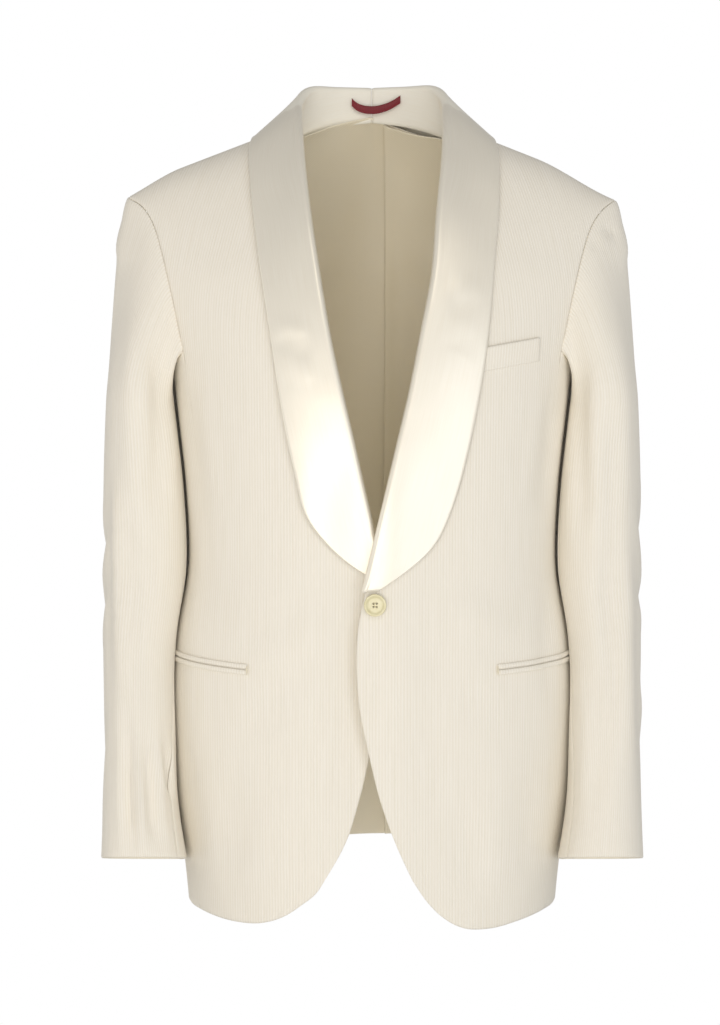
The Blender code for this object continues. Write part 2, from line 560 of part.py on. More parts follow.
def shawl_grid(hand, stations):
    """Middle surface of half the shawl: rows run along it, columns from the seam to the edge."""
    table = SHAWL_OVER if hand > 0 else SHAWL_UNDER
    form = Nearest(hand)
    radius = 0.5 * (LAPEL_RISE + FACING_DROP)
    rolls, edges, seams = [], [], []
    for row in table:
        roll, edge = [np.array([np.nan if value is None else value for value in row[part]])
                      for part in ("roll", "edge")]
        if row["seam"] is None:
            domain = locate([roll[0], edge[0], roll[0] + FACING_LENGTH], [roll[2], edge[2], roll[2]], hand)
            drop = 0.5 * (LAPEL_RISE - FACING_DROP)
            rise = np.array([drop, LAPEL_RISE, -FACING_DROP])
            roll, edge, seam = on_form(domain, hand, rise, True)
        else:
            mirror = np.array([hand, 1.0, 1.0])
            roll, edge, seam = roll * mirror, edge * mirror, np.array(row["seam"]) * mirror
            edge = form.over(edge, LAPEL_RISE)[0]
        rolls.append(roll)
        edges.append(edge)
        seams.append(seam)
    rolls, edges, seams = np.array(rolls), np.array(edges), np.array(seams)
    for part in (rolls, edges, seams):
        part[0, 0] = hand * 0.5 * SEAM_GAP
    knots = np.concatenate([[0.0], np.cumsum(np.linalg.norm(np.diff(rolls, axis=0), axis=1))])
    at = np.linspace(0, knots[-1], stations + 1)
    roll, edge, seam = (hermite(knots, part, at) for part in (rolls, edges, seams))
    lies = hermite(knots, [row["lies"] for row in table], at).clip(0, 1)[:, None]
    roll = np.where(lies > LIES_FROM, form.clear(roll, 0.0), roll)
    normal = form.drop(roll)[1]
    down = unit(0.5 * (seam + edge) - roll) * (1 - lies) + unit(edge - roll) * lies
    down = unit(down)
    out = unit(edge - seam) * (1 - lies) + normal * lies
    out = unit(out - down * (out * down).sum(axis=-1, keepdims=True))
    centre = roll + down * radius
    start_in, start_out = centre - out * radius, centre + out * radius
    start_in = np.where(lies > LIES_FROM, form.beneath(start_in, FACING_DROP), start_in)
    columns = []
    for share in INNER_LEG:
        flat = seam + (start_in - seam) * share
        laid = form.over(flat, -FACING_DROP)[0]
        column = flat * (1 - lies) + laid * lies
        columns.append(np.where(lies > LIES_FROM, form.beneath(column, FACING_DROP), column))
    columns.append(start_in)
    for turn in ROLL_TURN:
        columns.append(centre - down * radius * np.cos(turn) + out * radius * np.sin(turn))
    for share in OUTER_LEG:
        flat = start_out + (edge - start_out) * share
        free = flat + out * NECK_BULGE * 4 * share * (1 - share)
        laid = form.over(flat, LAPEL_RISE)[0]
        columns.append(form.clear(free * (1 - lies) + laid * lies, LAPEL_RISE))
    return np.stack(columns, axis=1)


def add_shawl(name, hand):
    """Half of the satin shawl, cut from the centre back seam to the lapel's tip."""
    middle = shawl_grid(hand, SHAWL_CELLS)
    normal = grid_normals(middle)
    normal[0, :, 0] = 0.0
    normal[0] = unit(normal[0])
    return add_wall(name, middle + normal * 0.5 * LAPEL_WALL, middle - normal * 0.5 * LAPEL_WALL, "satin")


# ---- sleeves ------------------------------------------------------------------------------
def armhole_loop(hand):
    """Closed armhole as three lists for equal shares of its length, from the shoulder tip forward.

    The lists are its points, the form's normals, and the directions along the form into the hole.
    """
    front = front_side_edge(hand)[SEAM_CELLS:]
    back = back_side_edge(hand)[SEAM_CELLS:]
    under = side_grid(hand)[-1]
    domain = np.concatenate([front[::-1], under[1:-1], back])
    points = form_point(domain[:, 0], domain[:, 1], hand)
    normals = form_normal(domain[:, 0], domain[:, 1], hand)
    forward = unit(np.gradient(points, axis=0))
    into = unit(np.cross(normals, forward)) * hand
    return points, normals, into


def sleeve_rows():
    """The sleeve's table as an array."""
    return np.array(SLEEVE)


def ring_point(share, row, hand):
    """Point of a sleeve's ring, by share of the way round from its outer middle by the front."""
    ring = hermite(np.arange(len(SLEEVE)), sleeve_rows(), row)
    height, inner, outer, middle, depth, tip = np.moveaxis(ring, -1, 0)
    turns = np.linspace(0, 2 * np.pi, 145)
    power = 2.0 / SLEEVE_SQUARE

    def bent(value):
        return np.sign(value) * np.abs(value) ** power

    across = 0.5 * (inner + outer) + 0.5 * (outer - inner) * bent(np.cos(turns))[:, None]
    deep = middle - 0.5 * depth * bent(np.sin(turns))[:, None]
    length = np.hypot(np.diff(across, axis=0), np.diff(deep, axis=0)).cumsum(axis=0)
    length = np.concatenate([np.zeros_like(length[:1]), length]) / length[-1]
    across = np.array([np.interp(share[k], length[:, k], across[:, k]) for k in range(len(share))])
    deep = np.array([np.interp(share[k], length[:, k], deep[:, k]) for k in range(len(share))])
    return np.stack([hand * across, deep, height - tip * (deep - middle)], axis=-1)


def sleeve_surface(hand, share, cap_cells, ring_cells):
    """Rows of a sleeve's outer surface at shares of the way round, and the normals it starts with."""
    points, normals, into = armhole_loop(hand)
    step = np.linalg.norm(np.diff(points, axis=0), axis=1)
    knots = np.concatenate([[0.0], np.cumsum(step)]) / step.sum()
    place = share % 1.0
    start = hermite(knots, points, place)
    normal = unit(hermite(knots, normals, place))
    inward = unit(hermite(knots, into, place))
    low = 0.5 - 0.5 * np.cos(2 * np.pi * place)[:, None]      # 0 at the shoulder tip, 1 underarm
    leave = inward * (1.0 - 0.85 * low) + normal * (0.15 + 0.85 * low)
    start = start + inward * ARMHOLE_GAP
    ring = ring_point(place, np.zeros(len(place)), hand)
    below = ring_point(place, np.full(len(place), 0.05), hand)
    fall = np.linalg.norm(ring - start, axis=1, keepdims=True)
    leave = unit(leave) * (CAP_SWELL + (UNDERARM_SWELL - CAP_SWELL) * low)
    arrive = unit(below - ring) * fall * 0.9
    rows = []
    for step in np.linspace(0, 1, cap_cells + 1):
        rows.append(start * (1 + 2 * step) * (1 - step) ** 2 + leave * step * (1 - step) ** 2
                    + ring * step ** 2 * (3 - 2 * step) + arrive * step ** 2 * (step - 1))
    for row in np.linspace(0, len(SLEEVE) - 1, ring_cells + 1)[1:]:
        rows.append(ring_point(place, np.full(len(place), row), hand))
    return np.array(rows), normal


def sleeve_wall(hand, share, cap_cells, ring_cells):
    """Outer and inner points of a sleeve's wall at shares of the way round."""
    form = Nearest(hand)
    turn = 0.01
    rows = []
    for place in (share, share - turn, share + turn):
        surface, start_normal = sleeve_surface(hand, place, cap_cells, ring_cells)
        surface[cap_cells // 2:] = form.clear(surface[cap_cells // 2:], SLEEVE_CLEAR)
        rows.append(surface)
        if place is share:
            first_normal = start_normal
    outer, before, after = rows
    normal = unit(np.cross(after - before, np.gradient(outer, axis=0))) * hand
    blend = np.zeros(len(outer))
    blend[:3] = (1.0, 0.6, 0.2)
    normal = unit(normal * (1 - blend)[:, None, None] + first_normal[None] * blend[:, None, None])
    return outer, outer - normal * CLOTH


def add_sleeve_panel(name, hand, first, last, columns):
    """One panel of a sleeve, with its wall inside the sleeve's outer surface."""
    share = np.linspace(first, last, columns + 1)
    outer, inner = sleeve_wall(hand, share, CAP_CELLS, SLEEVE_RING_CELLS)
    return add_wall(name, outer, inner, "silk")


# ---- small pieces -------------------------------------------------------------------------
def add_strip(name, hand, start, end, low, high, cells, rise, wall, finish):
    """Strip that lies on the form between two places, from low to high across its line.

    Each place is an angle and a height.
    """
    share = np.linspace(0, 1, cells + 1)
    angle = start[0] + (end[0] - start[0]) * share
    height = start[1] + (end[1] - start[1]) * share
    domain = np.array([[(turn, level_at(level + side)) for turn, level in zip(angle, height)]
                       for side in (low, high)])
    return add_panel(name, domain, hand, finish, rise + wall, wall, True)


def add_button():
    """Four-hole button, turned with a raised rim, on the over front."""
    domain = locate([BUTTON_AT[0]], [BUTTON_AT[1]], 1)
    seat = on_form(domain, 1, BUTTON_SEAT, True)[0]
    facing = form_normal(domain[:, 0], domain[:, 1], 1)[0]
    profile = ((0.0, 0.0), (0.70, 0.0), (0.96, 0.30), (1.0, 0.62), (0.93, 0.95), (0.80, 1.0),
               (0.66, 0.78), (0.0, 0.70))
    turns = np.linspace(0, 2 * np.pi, 28, endpoint=False)
    side = np.cross(facing, (0.0, 0.0, 1.0))
    side = side / np.linalg.norm(side)
    rise = np.cross(side, facing)
    points, faces = [], []
    for radius, height in profile[1:-1]:
        for turn in turns:
            away = side * np.cos(turn) + rise * np.sin(turn)
            points.append(seat + away * radius * BUTTON_RADIUS + facing * height * BUTTON_THICK)
    count = len(turns)
    for ring in range(len(profile) - 3):
        for k in range(count):
            after = (k + 1) % count
            faces.append((ring * count + k, ring * count + after,
                          (ring + 1) * count + after, (ring + 1) * count + k))
    faces.append(tuple(range(count))[::-1])
    faces.append(tuple((len(profile) - 3) * count + k for k in range(count)))
    if np.dot(np.cross(side, rise), facing) < 0:
        faces = [tuple(reversed(face)) for face in faces]
    button = add_object("button", points, faces, "button")
    for number, (right, up) in enumerate(((1, 1), (1, -1), (-1, -1), (-1, 1))):
        centre = seat + (side * right + rise * up) * HOLE_SPREAD * np.sqrt(0.5)
        bpy.ops.mesh.primitive_cylinder_add(vertices=10, radius=HOLE_RADIUS, depth=0.02,
                                            location=centre)
        cutter = bpy.context.object
        cutter.name = f"button_hole_cutter_{number}"
        cutter.rotation_mode = "QUATERNION"
        cutter.rotation_quaternion = Vector(facing).to_track_quat("Z", "Y")
        cutter.hide_render = True
        cutter.display_type = "WIRE"
        hole = button.modifiers.new(f"hole_{number}", "BOOLEAN")
        hole.object = cutter
        hole.operation = "DIFFERENCE"
    return button


LOOP_LINE = ((-0.0200, 0.0615, 0.0415), (-0.0150, 0.0610, 0.0370), (0.0020, 0.0610, 0.0335),
             (0.0150, 0.0608, 0.0365), (0.0285, 0.0600, 0.0440))


def add_hanger_loop():
    """Tape that hangs inside the neck between its two sewn ends."""
    line = along(LOOP_LINE, np.linspace(0, 1, LOOP_CELLS + 1))
    low = line - np.array([0.0, 0.0, 0.5 * LOOP_WIDTH])
    high = line + np.array([0.0, 0.0, 0.5 * LOOP_WIDTH])
    front = np.array([low, high])
    return add_wall("hanger_loop", front, front + np.array([0.0, LOOP_WALL, 0.0]), "tape")


POCKET_START = (0.1175, -0.5065)     # front end of a hip pocket: across, height
POCKET_END = (98.0, -0.4975)         # its back end: ring angle, height
WELT_START = (0.0630, -0.2110)       # end of the chest welt under the lapel: across, height of its top
WELT_END = (0.1566, -0.1939)


def add_pockets():
    """Jets of both hip pockets, and the chest welt on the wearer's left."""
    for hand, side in ((1, "left"), (-1, "right")):
        start = (float(locate([POCKET_START[0]], [POCKET_START[1]], hand)[0, 0]), POCKET_START[1])
        slit = 0.5 * JET_SLIT
        for part, low, high in (("upper", slit, slit + JET_HEIGHT), ("lower", -slit - JET_HEIGHT, -slit)):
            add_strip(f"hip_jet_{part}_{side}", hand, start, POCKET_END, low, high, JET_CELLS,
                      JET_RISE, JET_WALL, "silk")
    top = np.linspace(0, 1, WELT_CELLS + 1)[:, None] * (np.array(WELT_END) - WELT_START) + WELT_START
    edge = locate(top[:, 0], top[:, 1], 1)
    foot = locate(top[:, 0] + 0.001, top[:, 1] - WELT_HEIGHT, 1)
    domain = np.array([foot, edge])
    add_panel("chest_welt", domain, 1, "silk", JET_RISE + JET_WALL, JET_WALL, True)


def main():
    """Clear the scene and build every piece of the jacket."""
    for item in list(bpy.data.objects):
        bpy.data.objects.remove(item, do_unlink=True)
    for hand, side in ((1, "left"), (-1, "right")):
        add_panel(f"front_{side}", front_grid(hand), hand, "silk", lifted=True)
        add_panel(f"side_{side}", side_grid(hand), hand, "silk")
        back = back_grid(hand)
        add_panel(f"back_{side}", back, hand, "silk")
        back[:, -1, 0] += LINING_INSET
        add_panel(f"lining_{side}", back, hand, "lining", -CLOTH - LINING_GAP, LINING_WALL)
        seam = SLEEVE_SEAM_GAP
        add_sleeve_panel(f"upper_sleeve_{side}", hand, BACK_SLEEVE_SEAM - 1.0 + seam,
                         FRONT_SLEEVE_SEAM - seam, UPPER_SLEEVE_CELLS)
        add_sleeve_panel(f"under_sleeve_{side}", hand, FRONT_SLEEVE_SEAM + seam,
                         BACK_SLEEVE_SEAM - seam, UNDER_SLEEVE_CELLS)
        add_shawl(f"shawl_{side}", hand)
    add_pockets()
    add_button()
    add_hanger_loop()


main()
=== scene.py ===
"""Ivory shawl-collar dinner jacket, hollow, filled out as it is worn.

Metres, +Z up. The jacket's front faces -Y and the wearer's left is at +X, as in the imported
model. Every panel is cut on one form, the jacket's outer surface. A place on the form has a ring
angle in degrees, 0 at the middle of the front and 180 at the middle of the back, and a level,
which counts the rows of the form from below the hem up to the shoulder ridge.
"""
import logging
import math
from dataclasses import dataclass, field
from enum import Enum

import bpy
import numpy as np
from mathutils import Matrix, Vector
from mathutils.kdtree import KDTree


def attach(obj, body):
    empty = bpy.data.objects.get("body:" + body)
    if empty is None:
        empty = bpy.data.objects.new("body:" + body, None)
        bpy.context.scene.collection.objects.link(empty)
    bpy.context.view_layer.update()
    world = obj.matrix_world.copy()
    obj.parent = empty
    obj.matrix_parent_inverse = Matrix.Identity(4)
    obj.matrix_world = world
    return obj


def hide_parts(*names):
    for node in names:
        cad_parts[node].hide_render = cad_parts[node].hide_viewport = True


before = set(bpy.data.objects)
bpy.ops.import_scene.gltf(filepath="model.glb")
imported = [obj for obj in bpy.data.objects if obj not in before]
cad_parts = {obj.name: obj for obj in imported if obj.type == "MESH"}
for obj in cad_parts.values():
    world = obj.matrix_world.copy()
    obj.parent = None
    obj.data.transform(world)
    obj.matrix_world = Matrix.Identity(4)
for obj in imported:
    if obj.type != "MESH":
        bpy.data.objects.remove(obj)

LOG = logging.getLogger("dinner_jacket")
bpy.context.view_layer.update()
Grid = np.ndarray
Place = tuple[float, ...]


class Side(Enum):
    """The wearer's side that a piece belongs to. The left side is at +X."""

    LEFT = 1
    RIGHT = -1

    @property
    def word(self) -> str:
        """The side's word in the names of pieces."""
        return self.name.lower()


class View(Enum):
    """The direction from which a crease's line is drawn on the cloth."""

    FRONT = 0
    BACK = 1
    OUTSIDE = 2
    INSIDE = 3


# ---- curves --------------------------------------------------------------------------------
def smoothstep(value: Grid | float, low: float, high: float) -> Grid:
    """Rise from 0 to 1 with level ends.

    Args:
        value: What is compared with the two limits.
        low: Where the rise starts.
        high: Where it ends.

    Returns:
        The share of the rise at each value.
    """
    share = np.clip((np.asarray(value, float) - low) / (high - low), 0.0, 1.0)
    return share * share * (3.0 - 2.0 * share)


def hermite(knots: Grid, values: Grid, at: Grid) -> Grid:
    """Smooth curve through rows of values.

    Args:
        knots: Rising places of the rows.
        values: One row of values for each knot.
        at: Where the curve is read.

    Returns:
        The values at each place.
    """
    knots = np.asarray(knots, float)
    values = np.asarray(values, float)
    step = np.diff(knots)
    flat = (len(step),) + (1,) * (values.ndim - 1)
    slope = np.diff(values, axis=0) / step.reshape(flat)
    tangent = np.empty_like(values)
    before = step[:-1].reshape((-1,) + flat[1:])
    after = step[1:].reshape((-1,) + flat[1:])
    tangent[1:-1] = (slope[:-1] * after + slope[1:] * before) / (before + after)
    tangent[0] = 1.5 * slope[0] - 0.5 * tangent[1]
    tangent[-1] = 1.5 * slope[-1] - 0.5 * tangent[-2]
    at = np.clip(np.asarray(at, float), knots[0], knots[-1])
    row = np.clip(np.searchsorted(knots, at, side="right") - 1, 0, len(step) - 1)
    share = ((at - knots[row]) / step[row]).reshape(at.shape + (1,) * (values.ndim - 1))
    width = step[row].reshape(share.shape)
    return (values[row] * (1 + 2 * share) * (1 - share) ** 2
            + tangent[row] * width * share * (1 - share) ** 2
            + values[row + 1] * share ** 2 * (3 - 2 * share)
            + tangent[row + 1] * width * share ** 2 * (share - 1))


def along(points: Grid | tuple[Place, ...], shares: Grid) -> Grid:
    """Points of the smooth curve through given points.

    Args:
        points: The points in order.
        shares: Shares of the chord length at which the curve is read.

    Returns:
        The curve's points.
    """
    points = np.asarray(points, float)
    knots = np.concatenate([[0.0], np.cumsum(np.linalg.norm(np.diff(points, axis=0), axis=1))])
    return hermite(knots / knots[-1], points, shares)


def unit(vectors: Grid) -> Grid:
    """Vectors scaled to length 1."""
    return vectors / np.maximum(np.linalg.norm(vectors, axis=-1, keepdims=True), 1e-12)


def edged(cells: int, length: float, inset: float = 0.0016) -> Grid:
    """Shares across a sheet with one narrow cell at each end, which rounds its edge.

    Args:
        cells: Even cells between the narrow ones.
        length: Length of the sheet that way, in metres.
        inset: Width of a narrow cell, in metres.

    Returns:
        The shares, from 0 to 1.
    """
    narrow = inset / length
    return np.concatenate([[0.0], np.linspace(narrow, 1.0 - narrow, cells + 1), [1.0]])


def grid_normals(points: Grid) -> Grid:
    """Unit normals of a grid of points, from its own rows and columns."""
    return unit(np.cross(np.gradient(points, axis=1), np.gradient(points, axis=0)))


# ---- the form ------------------------------------------------------------------------------
@dataclass(frozen=True)
class Form:
    """The jacket's outer surface, a stack of rounded rings that closes at the shoulders."""

    neck_half: float = 0.085
    columns: tuple[str, ...] = ("height", "half", "front", "back", "slope", "square")
    rows: tuple[Place, ...] = (
        (-0.790, 0.1770, 0.1450, 0.1540, 0.00, 2.30), (-0.710, 0.1835, 0.1430, 0.1530, 0.00, 2.30),
        (-0.630, 0.1945, 0.1390, 0.1510, 0.00, 2.25), (-0.545, 0.1990, 0.1330, 0.1460, 0.00, 2.20),
        (-0.480, 0.1930, 0.1290, 0.1330, 0.00, 2.20), (-0.415, 0.1800, 0.1265, 0.1250, 0.00, 2.20),
        (-0.345, 0.1815, 0.1270, 0.1330, 0.00, 2.20), (-0.280, 0.1880, 0.1275, 0.1440, 0.00, 2.20),
        (-0.215, 0.1960, 0.1230, 0.1510, 0.02, 2.20), (-0.155, 0.2110, 0.1120, 0.1500, 0.12, 2.15),
        (-0.100, 0.2310, 0.0930, 0.1360, 0.26, 2.10), (-0.055, 0.2490, 0.0690, 0.1080, 0.34, 2.05),
        (-0.022, 0.2620, 0.0440, 0.0720, 0.37, 2.00), (-0.005, 0.2680, 0.0205, 0.0345, 0.38, 2.00),
        (0.000, 0.2700, 0.0004, 0.0004, 0.38, 2.00))
    nape_lift: float = 0.017
    left_drop: float = 0.035
    crown: float = 0.0098
    crown_start: Place = (0.080, 0.120)
    crown_end: dict[Side, Place] = field(default_factory=lambda: {
        Side.LEFT: (0.160, 0.235), Side.RIGHT: (0.185, 0.252)})
    over_lift: float = 0.0062
    under_lift: float = -0.0056
    lift_reach: float = 0.065

    @property
    def top(self) -> float:
        """Level of the shoulder ridge."""
        return len(self.rows) - 1.0

    def values(self, level: Grid) -> dict[str, Grid]:
        """The form's columns at levels between its rows."""
        read = hermite(np.arange(len(self.rows)), np.array(self.rows), level)
        return dict(zip(self.columns, np.moveaxis(read, -1, 0)))

    def point(self, angle: Grid, level: Grid, side: Side) -> Grid:
        """Points of the form.

        Args:
            angle: Ring angles in degrees, 0 to 180 on one half.
            level: Levels.
            side: Which half.

        Returns:
            The points.
        """
        angle = np.radians(np.asarray(angle, float))
        row = self.values(np.asarray(level, float))
        power = 2.0 / row["square"]
        across = row["half"] * np.sign(np.sin(angle)) * np.abs(np.sin(angle)) ** power
        facing = np.sign(np.cos(angle)) * np.abs(np.cos(angle)) ** power
        deep = np.where(facing > 0, -row["front"] * facing, -row["back"] * facing)
        slope = row["slope"] * (1.0 + (self.left_drop if side is Side.LEFT else 0.0))
        nape = self.nape_lift * (1.0 - smoothstep(np.abs(across), 0.0, 0.11)) * smoothstep(-facing, 0, 0.7)
        height = row["height"] - slope * (np.abs(across) - self.neck_half)
        height = height + nape * smoothstep(row["height"], -0.22, -0.04) * smoothstep(row["back"], 0.0, 0.05)
        away = np.abs(across)
        crown = smoothstep(away, *self.crown_start) * (1.0 - smoothstep(away, *self.crown_end[side]))
        height = height + self.crown * crown * smoothstep(row["height"], -0.10, -0.01)
        return np.stack([side.value * across, deep, height], axis=-1)

    def normal(self, angle: Grid, level: Grid, side: Side) -> Grid:
        """Unit normals of the form, pointing out of the jacket.

        Args:
            angle: Ring angles in degrees.
            level: Levels.
            side: Which half.

        Returns:
            The normals.
        """
        turn, rise = 0.6, 0.02
        angle, level = np.asarray(angle, float), np.asarray(level, float)
        over = self.point(angle + turn, level, side) - self.point(angle - turn, level, side)
        up = (self.point(angle, np.minimum(level + rise, self.top), side)
              - self.point(angle, np.maximum(level - rise, 0.0), side))
        normal = unit(np.cross(over, up) * side.value)
        normal[..., 1] *= 1.0 - smoothstep(level, self.top - 0.3, self.top)
        return unit(normal)

    def locate(self, across: Grid, height: Grid, side: Side, behind: bool = False) -> Grid:
        """Ring angle and level of places seen from the front or from behind.

        Args:
            across: Distances from the middle, towards the given side.
            height: Heights.
            side: Which half.
            behind: Whether the places are on the back.

        Returns:
            One pair of angle and level for each place.
        """
        across, height = np.atleast_1d(np.asarray(across, float)), np.atleast_1d(np.asarray(height, float))
        low, high = np.zeros_like(across), np.full_like(across, self.top)
        extra = 1.0 + (self.left_drop if side is Side.LEFT else 0.0)
        for _ in range(40):
            level = 0.5 * (low + high)
            row = self.values(level)
            below = row["height"] - row["slope"] * extra * (np.abs(across) - self.neck_half) < height
            low, high = np.where(below, level, low), np.where(below, high, level)
        row = self.values(level)
        share = np.clip(np.abs(across) / row["half"], 0.0, 1.0)
        angle = np.degrees(np.arcsin(share ** (row["square"] / 2.0))) * np.sign(across + 1e-12)
        return np.stack([np.where(behind, 180.0 - angle, angle), level], axis=-1)

    def level_at(self, height: Grid | float) -> Grid:
        """Level of rings below the arm, where rings are level."""
        return np.interp(height, [row[0] for row in self.rows[:9]], np.arange(9))

    def level_behind(self, across: float, deep: float) -> float:
        """Level at which the back passes over a place of the plan near the neck."""
        low, high = 8.0, self.top
        for _ in range(40):
            level = 0.5 * (low + high)
            row = self.values(np.array(level))
            square = row["square"]
            reach = row["back"] * max(1.0 - (across / row["half"]) ** square, 0.0) ** (1.0 / square)
            low, high = (level, high) if reach > deep else (low, level)
        return level

    def lift(self, points: Grid, side: Side) -> Grid:
        """How far the overlapping front edge stands out of the form, or lies inside it."""
        middle = 1.0 - smoothstep(points[..., 0] * side.value, 0.012, self.lift_reach)
        amount = self.over_lift if side is Side.LEFT else self.under_lift
        return amount * middle * (1.0 - smoothstep(points[..., 2], -0.37, -0.25))

    def laid(self, domain: Grid, side: Side, rise: Grid | float = 0.0, lifted: bool = False) -> Grid:
        """Points over the form.

        Args:
            domain: Pairs of angle and level.
            side: Which half.
            rise: How far the points stand out of the form.
            lifted: Whether they follow the overlap of the fronts.

        Returns:
            The points.
        """
        points = self.point(domain[..., 0], domain[..., 1], side)
        rise = np.broadcast_to(rise, points.shape[:-1])
        if lifted:
            rise = rise + self.lift(points, side)
        return points + self.normal(domain[..., 0], domain[..., 1], side) * rise[..., None]

    def girth(self, domain: Grid, side: Side, start: float) -> Grid:
        """Length round the form from a ring angle to each place of a domain."""
        share = np.linspace(0, 1, 41)
        angle = start + (domain[..., 0] - start)[..., None] * share
        ring = self.point(angle, np.broadcast_to(domain[..., 1][..., None], angle.shape), side)
        length = np.linalg.norm(np.diff(ring, axis=-2), axis=-1).sum(axis=-1)
        return length * np.sign(domain[..., 0] - start)


class Nearest:
    """Finds the form's nearest point and normal for places near one half of the jacket."""

    def __init__(self, form: Form, side: Side) -> None:
        """Sample the form for the first guess of each search."""
        self.form, self.side = form, side
        angles, levels = np.meshgrid(np.arange(-24.0, 196.0, 2.0), np.arange(2.0, form.top + 0.01, 0.06))
        self.domain = np.stack([angles, levels], axis=-1).reshape(-1, 2)
        points = form.point(self.domain[:, 0], self.domain[:, 1], side)
        self.tree = KDTree(len(points))
        for number, point in enumerate(points):
            self.tree.insert(Vector(point), number)
        self.tree.balance()

    def drop(self, places: Grid) -> tuple[Grid, Grid, Grid]:
        """Points of the form under the places, with the normals there and the heights over it."""
        flat = places.reshape(-1, 3)
        domain = self.domain[[self.tree.find(Vector(place))[1] for place in flat]].copy()
        turn, rise = 0.5, 0.02
        for _ in range(3):
            foot = self.form.point(domain[:, 0], domain[:, 1], self.side)
            over = (self.form.point(domain[:, 0] + turn, domain[:, 1], self.side) - foot) / turn
            lower = np.minimum(domain[:, 1], self.form.top - rise)
            up = (self.form.point(domain[:, 0], lower + rise, self.side)
                  - self.form.point(domain[:, 0], lower, self.side)) / rise
            away = flat - foot
            first, cross, second = (over * over).sum(1), (over * up).sum(1), (up * up).sum(1)
            side, rest = (over * away).sum(1), (up * away).sum(1)
            scale = np.maximum(first * second - cross * cross, 1e-14)
            domain[:, 0] += np.clip((side * second - rest * cross) / scale, -2.0, 2.0)
            domain[:, 1] += np.clip((rest * first - side * cross) / scale, -0.06, 0.06)
            domain[:, 1] = np.clip(domain[:, 1], 1.0, self.form.top)
        foot = self.form.point(domain[:, 0], domain[:, 1], self.side)
        normal = self.form.normal(domain[:, 0], domain[:, 1], self.side)
        height = ((flat - foot) * normal).sum(axis=1)
        shape = places.shape
        return (flat - normal * height[:, None]).reshape(shape), normal.reshape(shape), height.reshape(shape[:-1])

    def over(self, places: Grid, rise: Grid | float) -> Grid:
        """Places moved to the given height over the jacket's own cloth."""
        foot, normal, _ = self.drop(places)
        height = np.broadcast_to(rise, foot.shape[:-1]) + self.form.lift(foot, self.side)
        return foot + normal * height[..., None]

    def clear(self, places: Grid, least: Grid | float, soft: float = 0.0004) -> Grid:
        """Places moved out where they lie lower than least over the cloth, with a soft start."""
        foot, normal, height = self.drop(places)
        short = least + self.form.lift(foot, self.side) - height
        return places + normal * (0.5 * (short + np.sqrt(short * short + soft * soft)))[..., None]

    def beneath(self, places: Grid, least: float) -> Grid:
        """Places moved in where they lie less than least inside the cloth."""
        foot, normal, height = self.drop(places)
        return places - normal * np.maximum(height - self.form.lift(foot, self.side) + least, 0.0)[..., None]


# ---- creases -------------------------------------------------------------------------------
@dataclass(frozen=True)
class Fold:
    """A soft crease in the cloth.

    The line's points are across and height seen from the front or the back, and depth and height
    seen from the outside or the inside. A depth below 0 is a trough and above 0 a ridge.
    """

    view: View
    line: tuple[Place, ...]
    width: float
    depth: float


class Drape:
    """The creases of one side's sleeve or body, drawn on samples of its smooth surface."""

    def __init__(self, points: Grid, normals: Grid, side: Side, folds: tuple[Fold, ...]) -> None:
        """Trace every fold's line over the samples."""
        self.points, self.normals, self.side = points.reshape(-1, 3), normals.reshape(-1, 3), side
        self.folds = [(fold, self.trace(fold)) for fold in folds]

    def trace(self, fold: Fold) -> Grid:
        """The fold's line as points on the surface."""
        hand = self.side.value
        towards = {View.FRONT: (0, -1, 0), View.BACK: (0, 1, 0), View.OUTSIDE: (hand, 0, 0),
                   View.INSIDE: (-hand, 0, 0)}[fold.view]
        seen = self.points[self.normals @ np.array(towards, float) > 0.12]
        across = seen[:, 0] * hand if fold.view in (View.FRONT, View.BACK) else seen[:, 1]
        line = along(fold.line, np.linspace(0, 1, 33))
        found = [int(np.argmin((across - a) ** 2 + (seen[:, 2] - h) ** 2)) for a, h in line]
        path = seen[found]
        for _ in range(4):
            path[1:-1] = 0.5 * path[1:-1] + 0.25 * (path[:-2] + path[2:])
        return path

    def rise(self, points: Grid) -> Grid:
        """How far each point moves out along its normal."""
        flat = points.reshape(-1, 3)
        total = np.zeros(len(flat))
        for fold, path in self.folds:
            box = np.all((flat > path.min(axis=0) - 3.5 * fold.width)
                         & (flat < path.max(axis=0) + 3.5 * fold.width), axis=1)
            near = flat[box]
            if not len(near):
                continue
            away = np.linalg.norm(near[:, None] - path[None], axis=2)
            place = away.argmin(axis=1)
            ratio = away[np.arange(len(near)), place] / fold.width
            share = place / (len(path) - 1.0)
            taper = smoothstep(share, 0.0, 0.35) * (1.0 - smoothstep(share, 0.65, 1.0))
            shape = np.exp(-ratio ** 2) - 0.32 * np.exp(-((ratio - 1.7) / 0.8) ** 2)
            total[box] += fold.depth * taper * shape
        return total.reshape(points.shape[:-1])


# ---- finishes ------------------------------------------------------------------------------
def linear(code: str) -> tuple[float, float, float, float]:
    """Linear colour of an sRGB hex code."""
    parts = [int(code[k:k + 2], 16) / 255.0 for k in (0, 2, 4)]
    return tuple(p / 12.92 if p <= 0.04045 else ((p + 0.055) / 1.055) ** 2.4 for p in parts) + (1.0,)


